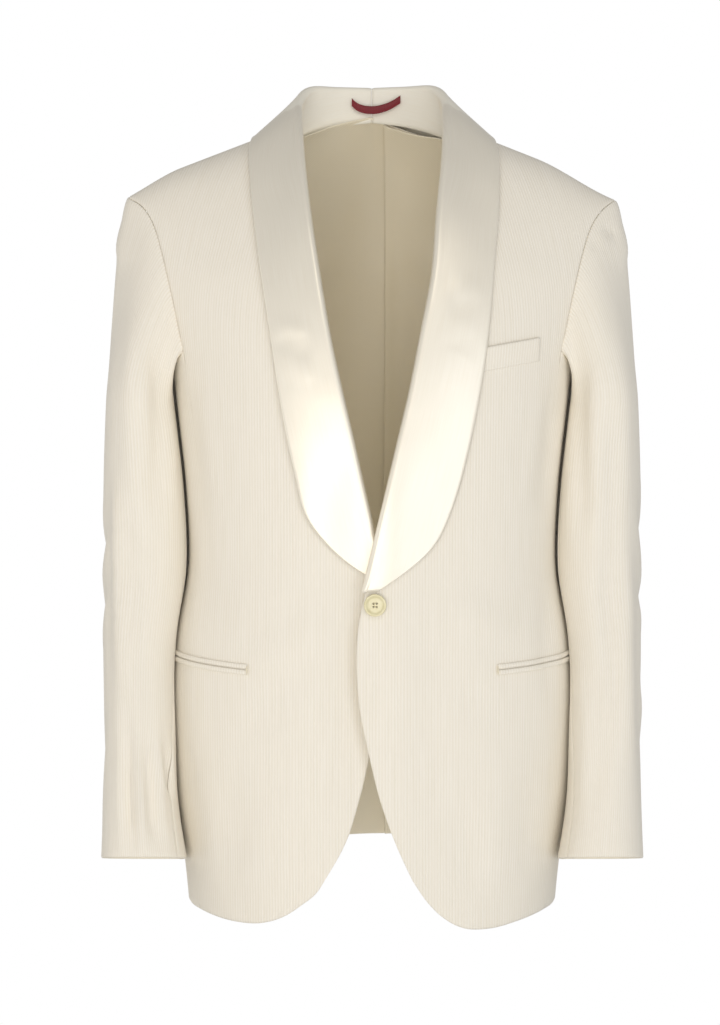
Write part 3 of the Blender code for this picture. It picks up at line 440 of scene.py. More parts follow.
def add_node(tree: bpy.types.NodeTree, kind: str, settings: dict | None = None,
             links: dict | None = None) -> bpy.types.Node:
    """Add a node to a tree.

    Args:
        tree: The tree.
        kind: The node's type.
        settings: Attributes of the node, and values of its inputs by name or number.
        links: Outputs that feed its inputs, by name or number.

    Returns:
        The node.
    """
    node = tree.nodes.new(kind)
    for name, value in (settings or {}).items():
        if isinstance(name, str) and hasattr(node, name):
            setattr(node, name, value)
        else:
            node.inputs[name].default_value = value
    for name, output in (links or {}).items():
        tree.links.new(output, node.inputs[name])
    return node


@dataclass(frozen=True)
class Finish:
    """What every finish has: its name, slot, colour and the shader's own settings."""

    name: str
    slot: str
    colour: str
    roughness: float
    sheen: float = 0.0
    specular: float = 0.5

    def start(self) -> tuple[bpy.types.Material, bpy.types.Node]:
        """A new material with its shader's plain values set."""
        material = bpy.data.materials.new(self.name)
        material.use_nodes = True
        shader = material.node_tree.nodes["Principled BSDF"]
        shader.inputs["Base Color"].default_value = linear(self.colour)
        shader.inputs["Roughness"].default_value = self.roughness
        shader.inputs["Sheen Weight"].default_value = self.sheen
        shader.inputs["Sheen Roughness"].default_value = 0.5
        shader.inputs["Specular IOR Level"].default_value = self.specular
        return material, shader

    def make(self) -> bpy.types.Material:
        """The finished material."""
        return self.start()[0]


@dataclass(frozen=True)
class RibbedSilk(Finish):
    """Ivory silk and wool faille, woven with fine raised ribs along the cloth.

    The ribs catch the light as thin lines by their bump and by painted shade in their valleys, and slubs in the yarn
    make a few of them paler.
    """

    # painted shade: the darker colour of the rib valleys
    valley_painted_shade: str = "efe8d9"
    pitch_mm: float = 2.9       # the real ribs are about 2 mm apart, drawn coarser so that they show
    rib_height_mm: float = 0.42
    slub_mm: float = 26.0

    def make(self) -> bpy.types.Material:
        """The ribs as bands of the UV map's first axis, which is metres across the cloth."""
        material, shader = self.start()
        tree = material.node_tree
        uv = add_node(tree, "ShaderNodeUVMap", {"uv_map": "UVMap"}).outputs["UV"]
        wander = add_node(tree, "ShaderNodeTexNoise", {"Scale": 1000 / self.slub_mm, "Detail": 1.0}, {"Vector": uv})
        ribs = add_node(tree, "ShaderNodeTexWave",
                        {"wave_type": "BANDS", "bands_direction": "X", "wave_profile": "SIN",
                         "Scale": 2 * math.pi / (20 * self.pitch_mm / 1000), "Distortion": 0.0}, {"Vector": uv})
        stretch = add_node(tree, "ShaderNodeMapping", {"Scale": (900.0, 14.0, 1.0)}, {"Vector": uv}).outputs[0]
        slub = add_node(tree, "ShaderNodeTexNoise", {"Scale": 1.0, "Detail": 2.0}, {"Vector": stretch})
        crowns = add_node(tree, "ShaderNodeMapRange", {"To Min": 0.72, "To Max": 1.28},
                          {"Value": wander.outputs["Fac"]})
        amount = add_node(tree, "ShaderNodeMath", {"operation": "MULTIPLY"},
                          {0: ribs.outputs["Fac"], 1: crowns.outputs[0]}).outputs[0]
        mixed = add_node(tree, "ShaderNodeMath", {"operation": "MULTIPLY_ADD", 1: 0.55},
                         {0: amount, 2: slub.outputs["Fac"]})
        shade = add_node(tree, "ShaderNodeMapRange", {"From Min": 0.25, "From Max": 1.15}, {"Value": mixed.outputs[0]})
        # the mix puts painted shade in the rib valleys and the full colour on the crowns, and the slubs of the yarn
        # make some ribs paler
        colour = add_node(tree, "ShaderNodeMix", {"data_type": "RGBA", 6: linear(self.valley_painted_shade), 7: linear(self.colour)},
                          {0: shade.outputs[0]})
        tree.links.new(colour.outputs[2], shader.inputs["Base Color"])
        place = add_node(tree, "ShaderNodeTexCoord").outputs["Object"]
        soft = add_node(tree, "ShaderNodeTexNoise", {"Scale": 17.0, "Detail": 1.5}, {"Vector": place})
        weave = add_node(tree, "ShaderNodeBump", {"Strength": 0.30, "Distance": 0.004}, {"Height": soft.outputs["Fac"]})
        bump = add_node(tree, "ShaderNodeBump", {"Strength": 0.55, "Distance": self.rib_height_mm / 1000},
                        {"Height": mixed.outputs[0], "Normal": weave.outputs[0]})
        tree.links.new(bump.outputs[0], shader.inputs["Normal"])
        return material


@dataclass(frozen=True)
class Satin(Finish):
    """Silk satin: long floats give a smooth face with a broad soft shine and faint pulls."""

    shade: str = "f3ecdd"
    mirror: float = 0.40         # share of the light that the long floats reflect without scattering
    thread_mm: float = 1.1      # the real threads are about 0.1 mm apart, drawn coarser so that they show

    def make(self) -> bpy.types.Material:
        """Threads along the UV map's second axis, and soft waves where the satin is eased."""
        material, shader = self.start()
        tree = material.node_tree
        uv = add_node(tree, "ShaderNodeUVMap", {"uv_map": "UVMap"}).outputs["UV"]
        stretch = add_node(tree, "ShaderNodeMapping", {"Scale": (1000 / self.thread_mm, 22.0, 1.0)}, {"Vector": uv})
        thread = add_node(tree, "ShaderNodeTexNoise", {"Scale": 1.0, "Detail": 2.0}, {"Vector": stretch.outputs[0]})
        place = add_node(tree, "ShaderNodeTexCoord").outputs["Object"]
        wave = add_node(tree, "ShaderNodeTexNoise", {"Scale": 21.0, "Detail": 1.0}, {"Vector": place})
        colour = add_node(tree, "ShaderNodeMix", {"data_type": "RGBA", 6: linear(self.shade), 7: linear(self.colour)},
                          {0: thread.outputs["Fac"]})
        tree.links.new(colour.outputs[2], shader.inputs["Base Color"])
        shader.inputs["Metallic"].default_value = self.mirror
        ease = add_node(tree, "ShaderNodeBump", {"Strength": 0.13, "Distance": 0.004}, {"Height": wave.outputs["Fac"]})
        bump = add_node(tree, "ShaderNodeBump", {"Strength": 0.10, "Distance": 0.0002},
                        {"Height": thread.outputs["Fac"], "Normal": ease.outputs[0]})
        tree.links.new(bump.outputs[0], shader.inputs["Normal"])
        return material


@dataclass(frozen=True)
class Twill(Finish):
    """Viscose lining twill or grosgrain tape: a fine slanted or crossways rib with a low shine."""

    # the colour of the troughs of the lines, which is painted shade, and of the darker patches of the random cloud
    shade: str = "f8edd2"
    rib_mm: float = 1.6         # the real twill lines are about 0.4 mm apart, drawn coarser so that they show
    slant: float = 1.0

    def make(self) -> bpy.types.Material:
        """Bands over the UV map, turned by the slant."""
        material, shader = self.start()
        tree = material.node_tree
        uv = add_node(tree, "ShaderNodeUVMap", {"uv_map": "UVMap"}).outputs["UV"]
        turned = add_node(tree, "ShaderNodeMapping", {"Rotation": (0.0, 0.0, self.slant)}, {"Vector": uv})
        lines = add_node(tree, "ShaderNodeTexWave",
                         {"wave_type": "BANDS", "bands_direction": "X",
                          "Scale": 2 * math.pi / (20 * self.rib_mm / 1000)}, {"Vector": turned.outputs[0]})
        cloud = add_node(tree, "ShaderNodeTexNoise", {"Scale": 9.0, "Detail": 2.0}, {"Vector": uv})
        mixed = add_node(tree, "ShaderNodeMath", {"operation": "MULTIPLY_ADD", 1: 0.3},
                         {0: lines.outputs["Fac"], 2: cloud.outputs["Fac"]})
        # the mix puts painted shade in the troughs of the lines and lays a random cloud of tone over the cloth
        colour = add_node(tree, "ShaderNodeMix", {"data_type": "RGBA", 6: linear(self.shade), 7: linear(self.colour)},
                          {0: mixed.outputs[0]})
        tree.links.new(colour.outputs[2], shader.inputs["Base Color"])
        bump = add_node(tree, "ShaderNodeBump", {"Strength": 0.12, "Distance": 0.0003}, {"Height": mixed.outputs[0]})
        tree.links.new(bump.outputs[0], shader.inputs["Normal"])
        return material


@dataclass(frozen=True)
class Cast(Finish):
    """Polyester button resin, turned and polished, with the faint cloud of mother-of-pearl."""

    cloud: str = "d9cf9f"

    def make(self) -> bpy.types.Material:
        """A slow cloud of a second tone."""
        material, shader = self.start()
        tree = material.node_tree
        place = add_node(tree, "ShaderNodeTexCoord").outputs["Object"]
        noise = add_node(tree, "ShaderNodeTexNoise", {"Scale": 190.0, "Detail": 2.0}, {"Vector": place})
        colour = add_node(tree, "ShaderNodeMix", {"data_type": "RGBA", 6: linear(self.cloud), 7: linear(self.colour)},
                          {0: noise.outputs["Fac"]})
        tree.links.new(colour.outputs[2], shader.inputs["Base Color"])
        shader.inputs["Coat Weight"].default_value = 0.3
        return material


@dataclass
class Wardrobe:
    """Every finish of the jacket, made once."""

    silk: bpy.types.Material = field(default_factory=lambda: RibbedSilk(
        "faille_ribbed_ivory", "silk", "f9f4ea", 0.62, sheen=0.12, specular=0.30).make())
    satin: bpy.types.Material = field(default_factory=lambda: Satin(
        "satin_silk_ivory", "satin", "fbf6ea", 0.40, sheen=0.10, specular=0.55).make())
    # painted light: a paler copy of the satin without its mirror shine, for the inside of the stand, so that it looks
    # lit there
    stand: bpy.types.Material = field(default_factory=lambda: Satin(
        "satin_silk_stand_painted_lit", "satin", "fdfaf0", 0.60, mirror=0.0, shade="f8f2e4").make())
    lining: bpy.types.Material = field(default_factory=lambda: Twill(
        "viscose_twill_champagne", "lining", "fff8e6", 0.42, specular=0.40).make())
    button: bpy.types.Material = field(default_factory=lambda: Cast(
        "resin_polished_cream", "button", "efe8c6", 0.26).make())
    tape: bpy.types.Material = field(default_factory=lambda: Twill(
        "grosgrain_burgundy", "tape", "8a1424", 0.55, shade="5a0a16", slant=0.0).make())
    thread: bpy.types.Material = field(default_factory=lambda: Satin(
        "thread_polyester_cream", "silk", "f4edd8", 0.50, shade="e2d8bd", mirror=0.0).make())


# ---- cloth shells --------------------------------------------------------------------------
def dress(piece: bpy.types.Object, node: str, also: tuple[str, ...] = ()) -> bpy.types.Object:
    """Tie a piece to its body and the plain solids that it stands for.

    Args:
        piece: The piece.
        node: The CAD node that it replaces, or an empty name.
        also: Other nodes that it replaces.

    Returns:
        The piece.
    """
    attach(piece, "root")
    if node:
        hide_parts(node, *also)
    LOG.info("%s: %d faces", piece.name, len(piece.data.polygons))
    return piece


def mesh_object(name: str, points: Grid, faces: list, uvs: Grid, materials: list, inside_from: int) -> bpy.types.Object:
    """Object from points and faces.

    Args:
        name: Its name.
        points: The points.
        faces: Point numbers of each face.
        uvs: One UV pair for each point.
        materials: One or two materials.
        inside_from: Number of the first face that gets the second material.

    Returns:
        The object, shaded smooth.
    """
    mesh = bpy.data.meshes.new(name)
    mesh.from_pydata([tuple(point) for point in points], [], faces)
    for material in materials:
        mesh.materials.append(material)
    layer = mesh.uv_layers.new(name="UVMap")
    corners = np.zeros(len(mesh.loops), np.int32)
    mesh.loops.foreach_get("vertex_index", corners)
    layer.data.foreach_set("uv", np.asarray(uvs, np.float32)[corners].ravel())
    if len(materials) > 1:
        index = np.zeros(len(mesh.polygons), np.int32)
        index[inside_from:] = 1
        mesh.polygons.foreach_set("material_index", index)
    mesh.shade_smooth()
    piece = bpy.data.objects.new(name, mesh)
    bpy.context.collection.objects.link(piece)
    return piece


def shell(name: str, outer: Grid, inner: Grid, uv: Grid, materials: list,
          pressed: tuple | None = None) -> bpy.types.Object:
    """Closed wall of cloth between two grids, with a rounded edge all round.

    Args:
        name: Name of the object.
        outer: Grid of points of the right side of the cloth.
        inner: The same for its inside.
        uv: Metres across and along the cloth at each point.
        materials: The outside's material, and the inside's if it differs.
        pressed: Rows and column of a seam that is pressed flat, so that its edge isn't rounded.

    Returns:
        The object.
    """
    rows, columns = outer.shape[:2]
    outer, inner = outer.copy(), inner.copy()
    rim = np.zeros((rows, columns), bool)
    rim[0] = rim[-1] = rim[:, 0] = rim[:, -1] = True
    if pressed:
        rim[pressed] = False
    step = (inner[rim] - outer[rim]) * 0.32
    outer[rim] += step
    inner[rim] -= step
    count = rows * columns
    index = np.arange(count).reshape(rows, columns)
    quads = np.stack([index[:-1, :-1], index[:-1, 1:], index[1:, 1:], index[1:, :-1]], axis=-1).reshape(-1, 4)
    loop = np.concatenate([index[0], index[1:, -1], index[-1, -2::-1], index[-2:0:-1, 0]])
    after = np.roll(loop, -1)
    band = np.stack([after, loop, loop + count, after + count], axis=-1)
    parts = [quads, band, quads[:, ::-1] + count]
    points = np.concatenate([outer.reshape(-1, 3), inner.reshape(-1, 3)])
    first = points[quads]
    facing = np.cross(first[:, 1] - first[:, 0], first[:, 3] - first[:, 0])
    wall = (outer - inner).reshape(-1, 3)[quads[:, 0]]
    if (facing * wall).sum() < 0:
        parts = [part[:, ::-1] for part in parts]
    faces = [tuple(int(k) for k in face) for part in parts for face in part]
    uvs = np.concatenate([uv.reshape(-1, 2)] * 2)
    piece = mesh_object(name, points, faces, uvs, materials, len(quads) + len(band))
    if pressed:
        seam = set(index[pressed].tolist())
        for edge in piece.data.edges:
            edge.use_edge_sharp = seam.issuperset(edge.vertices)
    return piece


def run_length(points: Grid, axis: int) -> Grid:
    """Length along the rows or columns of a grid of points, from its first one."""
    step = np.linalg.norm(np.diff(points, axis=axis), axis=-1).cumsum(axis=axis)
    first = np.zeros_like(np.take(step, [0], axis=axis))
    return np.concatenate([first, step], axis=axis)


def declare(piece: bpy.types.Object, surface: Grid) -> None:
    """State the flat cut of what shows of a sewn piece, measured along its own threads.

    Args:
        piece: The piece.
        surface: Grid of points of its outer face, rows going up.
    """
    least = 0.010      # the narrowest cut that a sheet may state
    width = max(float(run_length(surface, 1)[:, -1].max()), least)
    length = max(float(run_length(surface, 0)[-1].max()), least)
    LOG.info("%s is cut %.0f by %.0f mm", piece.name, width * 1000, length * 1000)


# ---- body ----------------------------------------------------------------------------------
@dataclass
class Body:
    """Fronts, side bodies, backs and the lining, cut on the form."""

    form: Form
    wardrobe: Wardrobe
    cloth: float = 0.0020
    lining_wall: float = 0.0012
    lining_gap: float = 0.0010
    lining_inset: float = 1.6
    pleat_step: float = 0.0034
    pleat: dict[Side, float] = field(default_factory=lambda: {Side.LEFT: -3.0, Side.RIGHT: 4.5})
    seam_half_angle: float = 0.012
    front_seam: float = 66.0
    back_seam: float = 122.0
    neck_depth: float = 0.072
    lining_neck_depth: float = 0.0695
    lining_neck_point: float = 1.7      # over 1, the curve of the lining's neck is flatter at its sides
    hem_side: float = -0.7420
    hem_back_rise: float = 0.038
    underarm_dip: float = 0.018
    shoulder_lean: float = 0.32     # the ribs of a front lean this much towards the neck at the shoulder
    seam_cells: int = 98
    armhole_cells: int = 56
    crowding: float = 1.25
    front_cells: int = 60
    side_cells: int = 34
    back_cells: int = 48
    edges: dict[Side, tuple[Place, ...]] = field(default_factory=lambda: {
        Side.LEFT: ((0.0367, -0.6987), (0.0199, -0.6613), (0.0068, -0.6239), (-0.0035, -0.5820),
                    (-0.0120, -0.5400), (-0.0150, -0.4950), (-0.0130, -0.4620), (-0.0070, -0.4330),
                    (0.0071, -0.3789), (0.0150, -0.3450), (0.0262, -0.2950), (0.0377, -0.2467),
                    (0.0498, -0.1850), (0.0589, -0.1380), (0.0665, -0.0850), (0.0730, -0.0430),
                    (0.0790, -0.0170), (0.0850, 0.0000)),
        Side.RIGHT: ((0.0444, -0.6987), (0.0239, -0.6613), (0.0136, -0.6286), (0.0035, -0.5886),
                     (-0.0060, -0.5450), (-0.0120, -0.4950), (-0.0125, -0.4580), (-0.0085, -0.4250),
                     (0.0018, -0.3775), (0.0110, -0.3380), (0.0218, -0.2902), (0.0310, -0.2523),
                     (0.0440, -0.1930), (0.0550, -0.1380), (0.0640, -0.0850), (0.0720, -0.0430),
                     (0.0785, -0.0170), (0.0850, 0.0000))})
    hems: dict[Side, tuple[Place, ...]] = field(default_factory=lambda: {
        Side.LEFT: ((0.0367, -0.6987), (0.0535, -0.7220), (0.0676, -0.7348), (0.0890, -0.7460),
                    (0.1180, -0.7490), (0.1470, -0.7460), (0.1740, -0.7420)),
        Side.RIGHT: ((0.0444, -0.6987), (0.0537, -0.7126), (0.0678, -0.7235), (0.0860, -0.7350),
                     (0.1100, -0.7430), (0.1400, -0.7450), (0.1740, -0.7420))})
    armhole_front: tuple[Place, ...] = (
        (0.1810, -0.2070), (0.1865, -0.1790), (0.1930, -0.1480), (0.2020, -0.1120),
        (0.2110, -0.0880), (0.2230, -0.0700), (0.2365, -0.0590))
    armhole_back: tuple[Place, ...] = (
        (0.1870, -0.2050), (0.1890, -0.1750), (0.1950, -0.1400), (0.2030, -0.1080),
        (0.2130, -0.0860), (0.2240, -0.0710), (0.2365, -0.0590))
    folds: dict[Side, tuple[Fold, ...]] = field(default_factory=lambda: {
        Side.LEFT: (
            Fold(View.FRONT, ((0.030, -0.470), (0.072, -0.505), (0.110, -0.560)), 0.017, -0.0011),
            Fold(View.FRONT, ((0.052, -0.440), (0.095, -0.452), (0.140, -0.480)), 0.016, 0.0012),
            Fold(View.FRONT, ((0.176, -0.235), (0.168, -0.300), (0.158, -0.375)), 0.014, -0.0026),
            Fold(View.FRONT, ((0.168, -0.430), (0.165, -0.490), (0.170, -0.540)), 0.012, -0.0016),
            Fold(View.FRONT, ((0.125, -0.560), (0.120, -0.640), (0.128, -0.720)), 0.020, 0.0016),
            Fold(View.FRONT, ((0.078, -0.610), (0.085, -0.670), (0.098, -0.725)), 0.018, -0.0015),
            Fold(View.BACK, ((0.030, -0.100), (0.088, -0.128), (0.150, -0.182)), 0.018, -0.0026),
            Fold(View.BACK, ((0.172, -0.215), (0.150, -0.290), (0.128, -0.380)), 0.016, -0.0034),
            Fold(View.BACK, ((0.020, -0.425), (0.072, -0.440), (0.128, -0.470)), 0.013, -0.0028),
            Fold(View.BACK, ((0.030, -0.455), (0.082, -0.474), (0.120, -0.500)), 0.014, 0.0022),
            Fold(View.BACK, ((0.090, -0.560), (0.096, -0.640), (0.106, -0.720)), 0.018, -0.0030),
            Fold(View.BACK, ((0.042, -0.590), (0.046, -0.650), (0.050, -0.712)), 0.020, 0.0024),
            Fold(View.OUTSIDE, ((-0.010, -0.420), (0.020, -0.450), (0.060, -0.500)), 0.013, -0.0024)),
        Side.RIGHT: (
            Fold(View.FRONT, ((0.018, -0.542), (0.032, -0.5435), (0.050, -0.541)), 0.0055, -0.0013),
            Fold(View.FRONT, ((0.020, -0.455), (0.066, -0.476), (0.118, -0.520)), 0.018, 0.0013),
            Fold(View.FRONT, ((0.045, -0.485), (0.090, -0.525), (0.120, -0.590)), 0.019, -0.0014),
            Fold(View.FRONT, ((0.178, -0.230), (0.170, -0.300), (0.160, -0.390)), 0.015, -0.0028),
            Fold(View.FRONT, ((0.085, -0.600), (0.094, -0.670), (0.104, -0.725)), 0.019, 0.0016),
            Fold(View.FRONT, ((0.140, -0.580), (0.134, -0.650), (0.140, -0.725)), 0.017, -0.0018),
            Fold(View.BACK, ((0.028, -0.108), (0.090, -0.132), (0.148, -0.176)), 0.017, -0.0028),
            Fold(View.BACK, ((0.170, -0.210), (0.154, -0.285), (0.120, -0.395)), 0.017, -0.0032),
            Fold(View.BACK, ((0.016, -0.432), (0.076, -0.452), (0.134, -0.462)), 0.014, -0.0030),
            Fold(View.BACK, ((0.036, -0.470), (0.080, -0.492), (0.112, -0.530)), 0.015, 0.0022),
            Fold(View.BACK, ((0.082, -0.570), (0.090, -0.650), (0.094, -0.720)), 0.019, -0.0028),
            Fold(View.OUTSIDE, ((-0.020, -0.430), (0.024, -0.462), (0.066, -0.492)), 0.014, -0.0026))})

    def drape(self, side: Side) -> Drape:
        """The creases of one half of the body."""
        angles, levels = np.meshgrid(np.arange(-4.0, 182.0, 1.5), np.arange(0.5, self.form.top - 0.5, 0.06))
        return Drape(self.form.point(angles, levels, side), self.form.normal(angles, levels, side), side,
                     self.folds[side])

    def spaced(self, table: tuple[Place, ...], side: Side, behind: bool, shares: Grid) -> Grid:
        """Places along an outline at shares of its length, crowded towards its end."""
        fine = along(table, np.linspace(0, 1, 321))
        domain = self.form.locate(fine[:, 0], fine[:, 1], side, behind)
        points = self.form.point(domain[:, 0], domain[:, 1], side)
        length = run_length(points[None], 1)[0]
        wanted = 1.0 - (1.0 - shares) ** self.crowding
        places = along(table, np.interp(wanted * length[-1], length, np.linspace(0, 1, len(fine))))
        return self.form.locate(places[:, 0], places[:, 1], side, behind)

    def shoulder(self, shares: Grid, behind: bool) -> Grid:
        """Places of the shoulder seam from the neck out to the shoulder tip."""
        tip = self.armhole_front[-1][0]
        angles = np.degrees(np.arcsin((self.form.neck_half + (tip - self.form.neck_half) * shares)
                                      / self.form.rows[-1][1]))
        return np.stack([180.0 - angles if behind else angles, np.full(len(shares), self.form.top)], axis=-1)

    def side_edge(self, side: Side, behind: bool) -> Grid:
        """Side seam and half of the armhole, from the hem up to the shoulder tip."""
        table, foot = (self.armhole_back, self.back_seam) if behind else (self.armhole_front, self.front_seam)
        armhole = self.spaced(table, side, behind, np.linspace(0, 1, self.armhole_cells + 1))
        armhole[-1] = self.shoulder(np.array([1.0]), behind)[0]
        share = np.linspace(0, 1, self.seam_cells + 1)
        low = self.form.level_at(self.hem_side)
        seam = np.stack([foot + (armhole[0, 0] - foot) * smoothstep(share, 0.55, 1.0),
                         low + (armhole[0, 1] - low) * share], axis=-1)
        return np.concatenate([seam[:-1], armhole])

    def rimmed(self, edge: Grid, length: float) -> Grid:
        """A long edge with one narrow cell added at each end."""
        inset = 0.0016 / length * (len(edge) - 1)
        rows = np.concatenate([[0.0, inset], np.arange(1, len(edge) - 1), [len(edge) - 1 - inset, len(edge) - 1]])
        return np.stack([np.interp(rows, np.arange(len(edge)), edge[:, k]) for k in (0, 1)], axis=-1)

    def coons(self, left: Grid, right: Grid, bottom: Grid, top: Grid, over: Grid) -> Grid:
        """Domain inside four edges: left and right go up, bottom and top go across.

        Args:
            left: Left edge.
            right: Right edge.
            bottom: Bottom edge.
            top: Top edge.
            over: Shares across at which the bottom and top are given.

        Returns:
            The grid of places.
        """
        up = np.linspace(0, 1, len(left))[:, None, None]
        over = over[None, :, None]
        left, right, bottom, top = left[:, None], right[:, None], bottom[None], top[None]
        corners = ((1 - up) * ((1 - over) * bottom[:, :1] + over * bottom[:, -1:])
                   + up * ((1 - over) * top[:, :1] + over * top[:, -1:]))
        return (1 - over) * left + over * right + (1 - up) * bottom + up * top - corners

    def front(self, side: Side) -> Grid:
        """Domain of a front, from its edge across to the side seam."""
        right = self.side_edge(side, False)
        right[:, 0] -= self.seam_half_angle
        left = self.spaced(self.edges[side], side, False, np.linspace(0, 1, len(right)))
        over = edged(self.front_cells, 0.16)
        top = self.shoulder(over, False)
        places = along(self.hems[side], over)
        bottom = self.form.locate(places[:, 0], places[:, 1], side)
        bottom[:, 0] += (right[0, 0] - bottom[-1, 0]) * over ** 2     # the hem ends at the side seam
        left[-1], top[-1], left[0], right[0] = top[0], right[-1], bottom[0], (right[0, 0], bottom[-1, 1])
        bottom[-1] = right[0]
        return self.coons(self.rimmed(left, 0.75), self.rimmed(right, 0.75), bottom, top, over)

    def back(self, side: Side, neck_depth: float, point: float = 1.0) -> Grid:
        """Domain of a back, from the centre seam across to the side seam."""
        right = self.side_edge(side, True)
        right[:, 0] += self.seam_half_angle
        nape = self.form.level_behind(0.0, neck_depth)
        over = edged(self.back_cells, 0.18)
        angles = 180.0 - self.seam_half_angle + (right[0, 0] - 180.0 + self.seam_half_angle) * over
        rise = self.hem_back_rise * smoothstep(angles, self.back_seam - 20, 180.0)
        bottom = np.stack([angles, self.form.level_at(self.hem_side + rise - rise[-1])], axis=-1)
        share = np.linspace(0, 1, len(right))
        left = np.stack([np.full(len(right), 180.0 - self.seam_half_angle),
                         bottom[0, 1] + (nape - bottom[0, 1]) * share], axis=-1)
        neck = 3.0 / 7.0
        turn = 0.5 * np.pi * np.linspace(0, 1, 25)
        arc = []
        for across, deep in zip(self.form.neck_half * np.sin(turn), neck_depth * np.cos(turn) ** point):
            level = self.form.level_behind(across, deep)
            row = self.form.values(np.array(level))
            arc.append((180.0 - np.degrees(np.arcsin(min(across / row["half"], 1.0) ** (row["square"] / 2.0))), level))
        arc, shoulder = np.array(arc), self.shoulder(np.clip((over - neck) / (1 - neck), 0, 1), True)
        curved = np.stack([np.interp(over / neck, np.linspace(0, 1, 25), arc[:, k]) for k in (0, 1)], axis=-1)
        top = np.where((over < neck)[:, None], curved, shoulder)
        top[0], top[-1], right[0] = left[-1], right[-1], bottom[-1]
        return self.coons(self.rimmed(left, 0.8), self.rimmed(right, 0.8), bottom, top, over)

    def side_body(self, side: Side) -> Grid:
        """Domain of a side body, from the front seam round to the back seam."""
        left = self.side_edge(side, False)[:self.seam_cells + 1]
        right = self.side_edge(side, True)[:self.seam_cells + 1]
        left[:, 0] += self.seam_half_angle
        right[:, 0] -= self.seam_half_angle
        over = edged(self.side_cells, 0.16)
        share = over[:, None]
        bottom, top = left[0] + (right[0] - left[0]) * share, left[-1] + (right[-1] - left[-1]) * share
        dip = self.underarm_dip / (self.form.rows[8][0] - self.form.rows[7][0])
        top[:, 1] -= dip * 4.0 * (share * (1.0 - share))[:, 0]
        return self.coons(self.rimmed(left, 0.52), self.rimmed(right, 0.52), bottom, top, over)

    def cloth_uv(self, domain: Grid, points: Grid, side: Side, start: float) -> Grid:
        """Metres across and along the cloth, with the ribs leaning to the neck at the shoulder."""
        across = self.form.girth(domain, side, start)
        high = np.maximum(points[..., 2] + 0.20, 0.0)
        lean = self.shoulder_lean if start < 90.0 else 0.10
        return np.stack([across + lean * high * high / 0.26, points[..., 2]], axis=-1)

    def panel(self, name: str, domain: Grid, side: Side, drape: Drape, start: float,
              pressed: tuple | None) -> bpy.types.Object:
        """Sew one panel of the shell, lined inside.

        Args:
            name: The CAD node that it stands for.
            domain: Its places on the form.
            side: Which half it is on.
            drape: The creases.
            start: Ring angle from which the ribs are counted.
            pressed: Rows and column of its seam that is pressed flat.

        Returns:
            The panel.
        """
        smooth = self.form.laid(domain, side)
        rise = drape.rise(smooth)
        lifted = name.startswith("front")     # the fronts overlap, so one stands out and one lies in
        outer = self.form.laid(domain, side, rise, lifted)
        inner = self.form.laid(domain, side, rise - self.cloth, lifted)
        piece = shell(name + "_cloth", outer, inner, self.cloth_uv(domain, smooth, side, start),
                      [self.wardrobe.silk, self.wardrobe.lining], pressed)
        dress(piece, name)
        declare(piece, outer)
        return piece

    def build(self) -> None:
        """Sew both halves of the body and its lining."""
        for side in Side:
            drape = self.drape(side)
            self.panel(f"front_{side.word}", self.front(side), side, drape, 0.0,
                       np.s_[1:self.seam_cells, -1])
            self.panel(f"side_{side.word}", self.side_body(side), side, drape, 94.0,
                       np.s_[1:self.seam_cells, 0])
            self.panel(f"back_{side.word}", self.back(side, self.neck_depth), side, drape, 180.0, None)
            back = self.back(side, self.lining_neck_depth, self.lining_neck_point)
            way = np.linspace(0, 1, back.shape[1])
            back[..., 0] += self.lining_inset * smoothstep(way, 0.0, 1.0)[None]
            back[..., 0] += self.pleat[side] * (1.0 - smoothstep(way, 0.0, 0.4))[None]
            smooth = self.form.laid(back, side)
            rise = drape.rise(smooth) - self.cloth - self.lining_gap
            if side is Side.LEFT:
                rise = rise - self.pleat_step * (1.0 - smoothstep(np.abs(smooth[..., 0]), 0.008, 0.030))
            outer, inner = self.form.laid(back, side, rise), self.form.laid(back, side, rise - self.lining_wall)
            piece = shell(f"lining_{side.word}_cloth", outer, inner, self.cloth_uv(back, smooth, side, 180.0),
                          [self.wardrobe.lining])
            dress(piece, f"lining_{side.word}")
            declare(piece, outer)


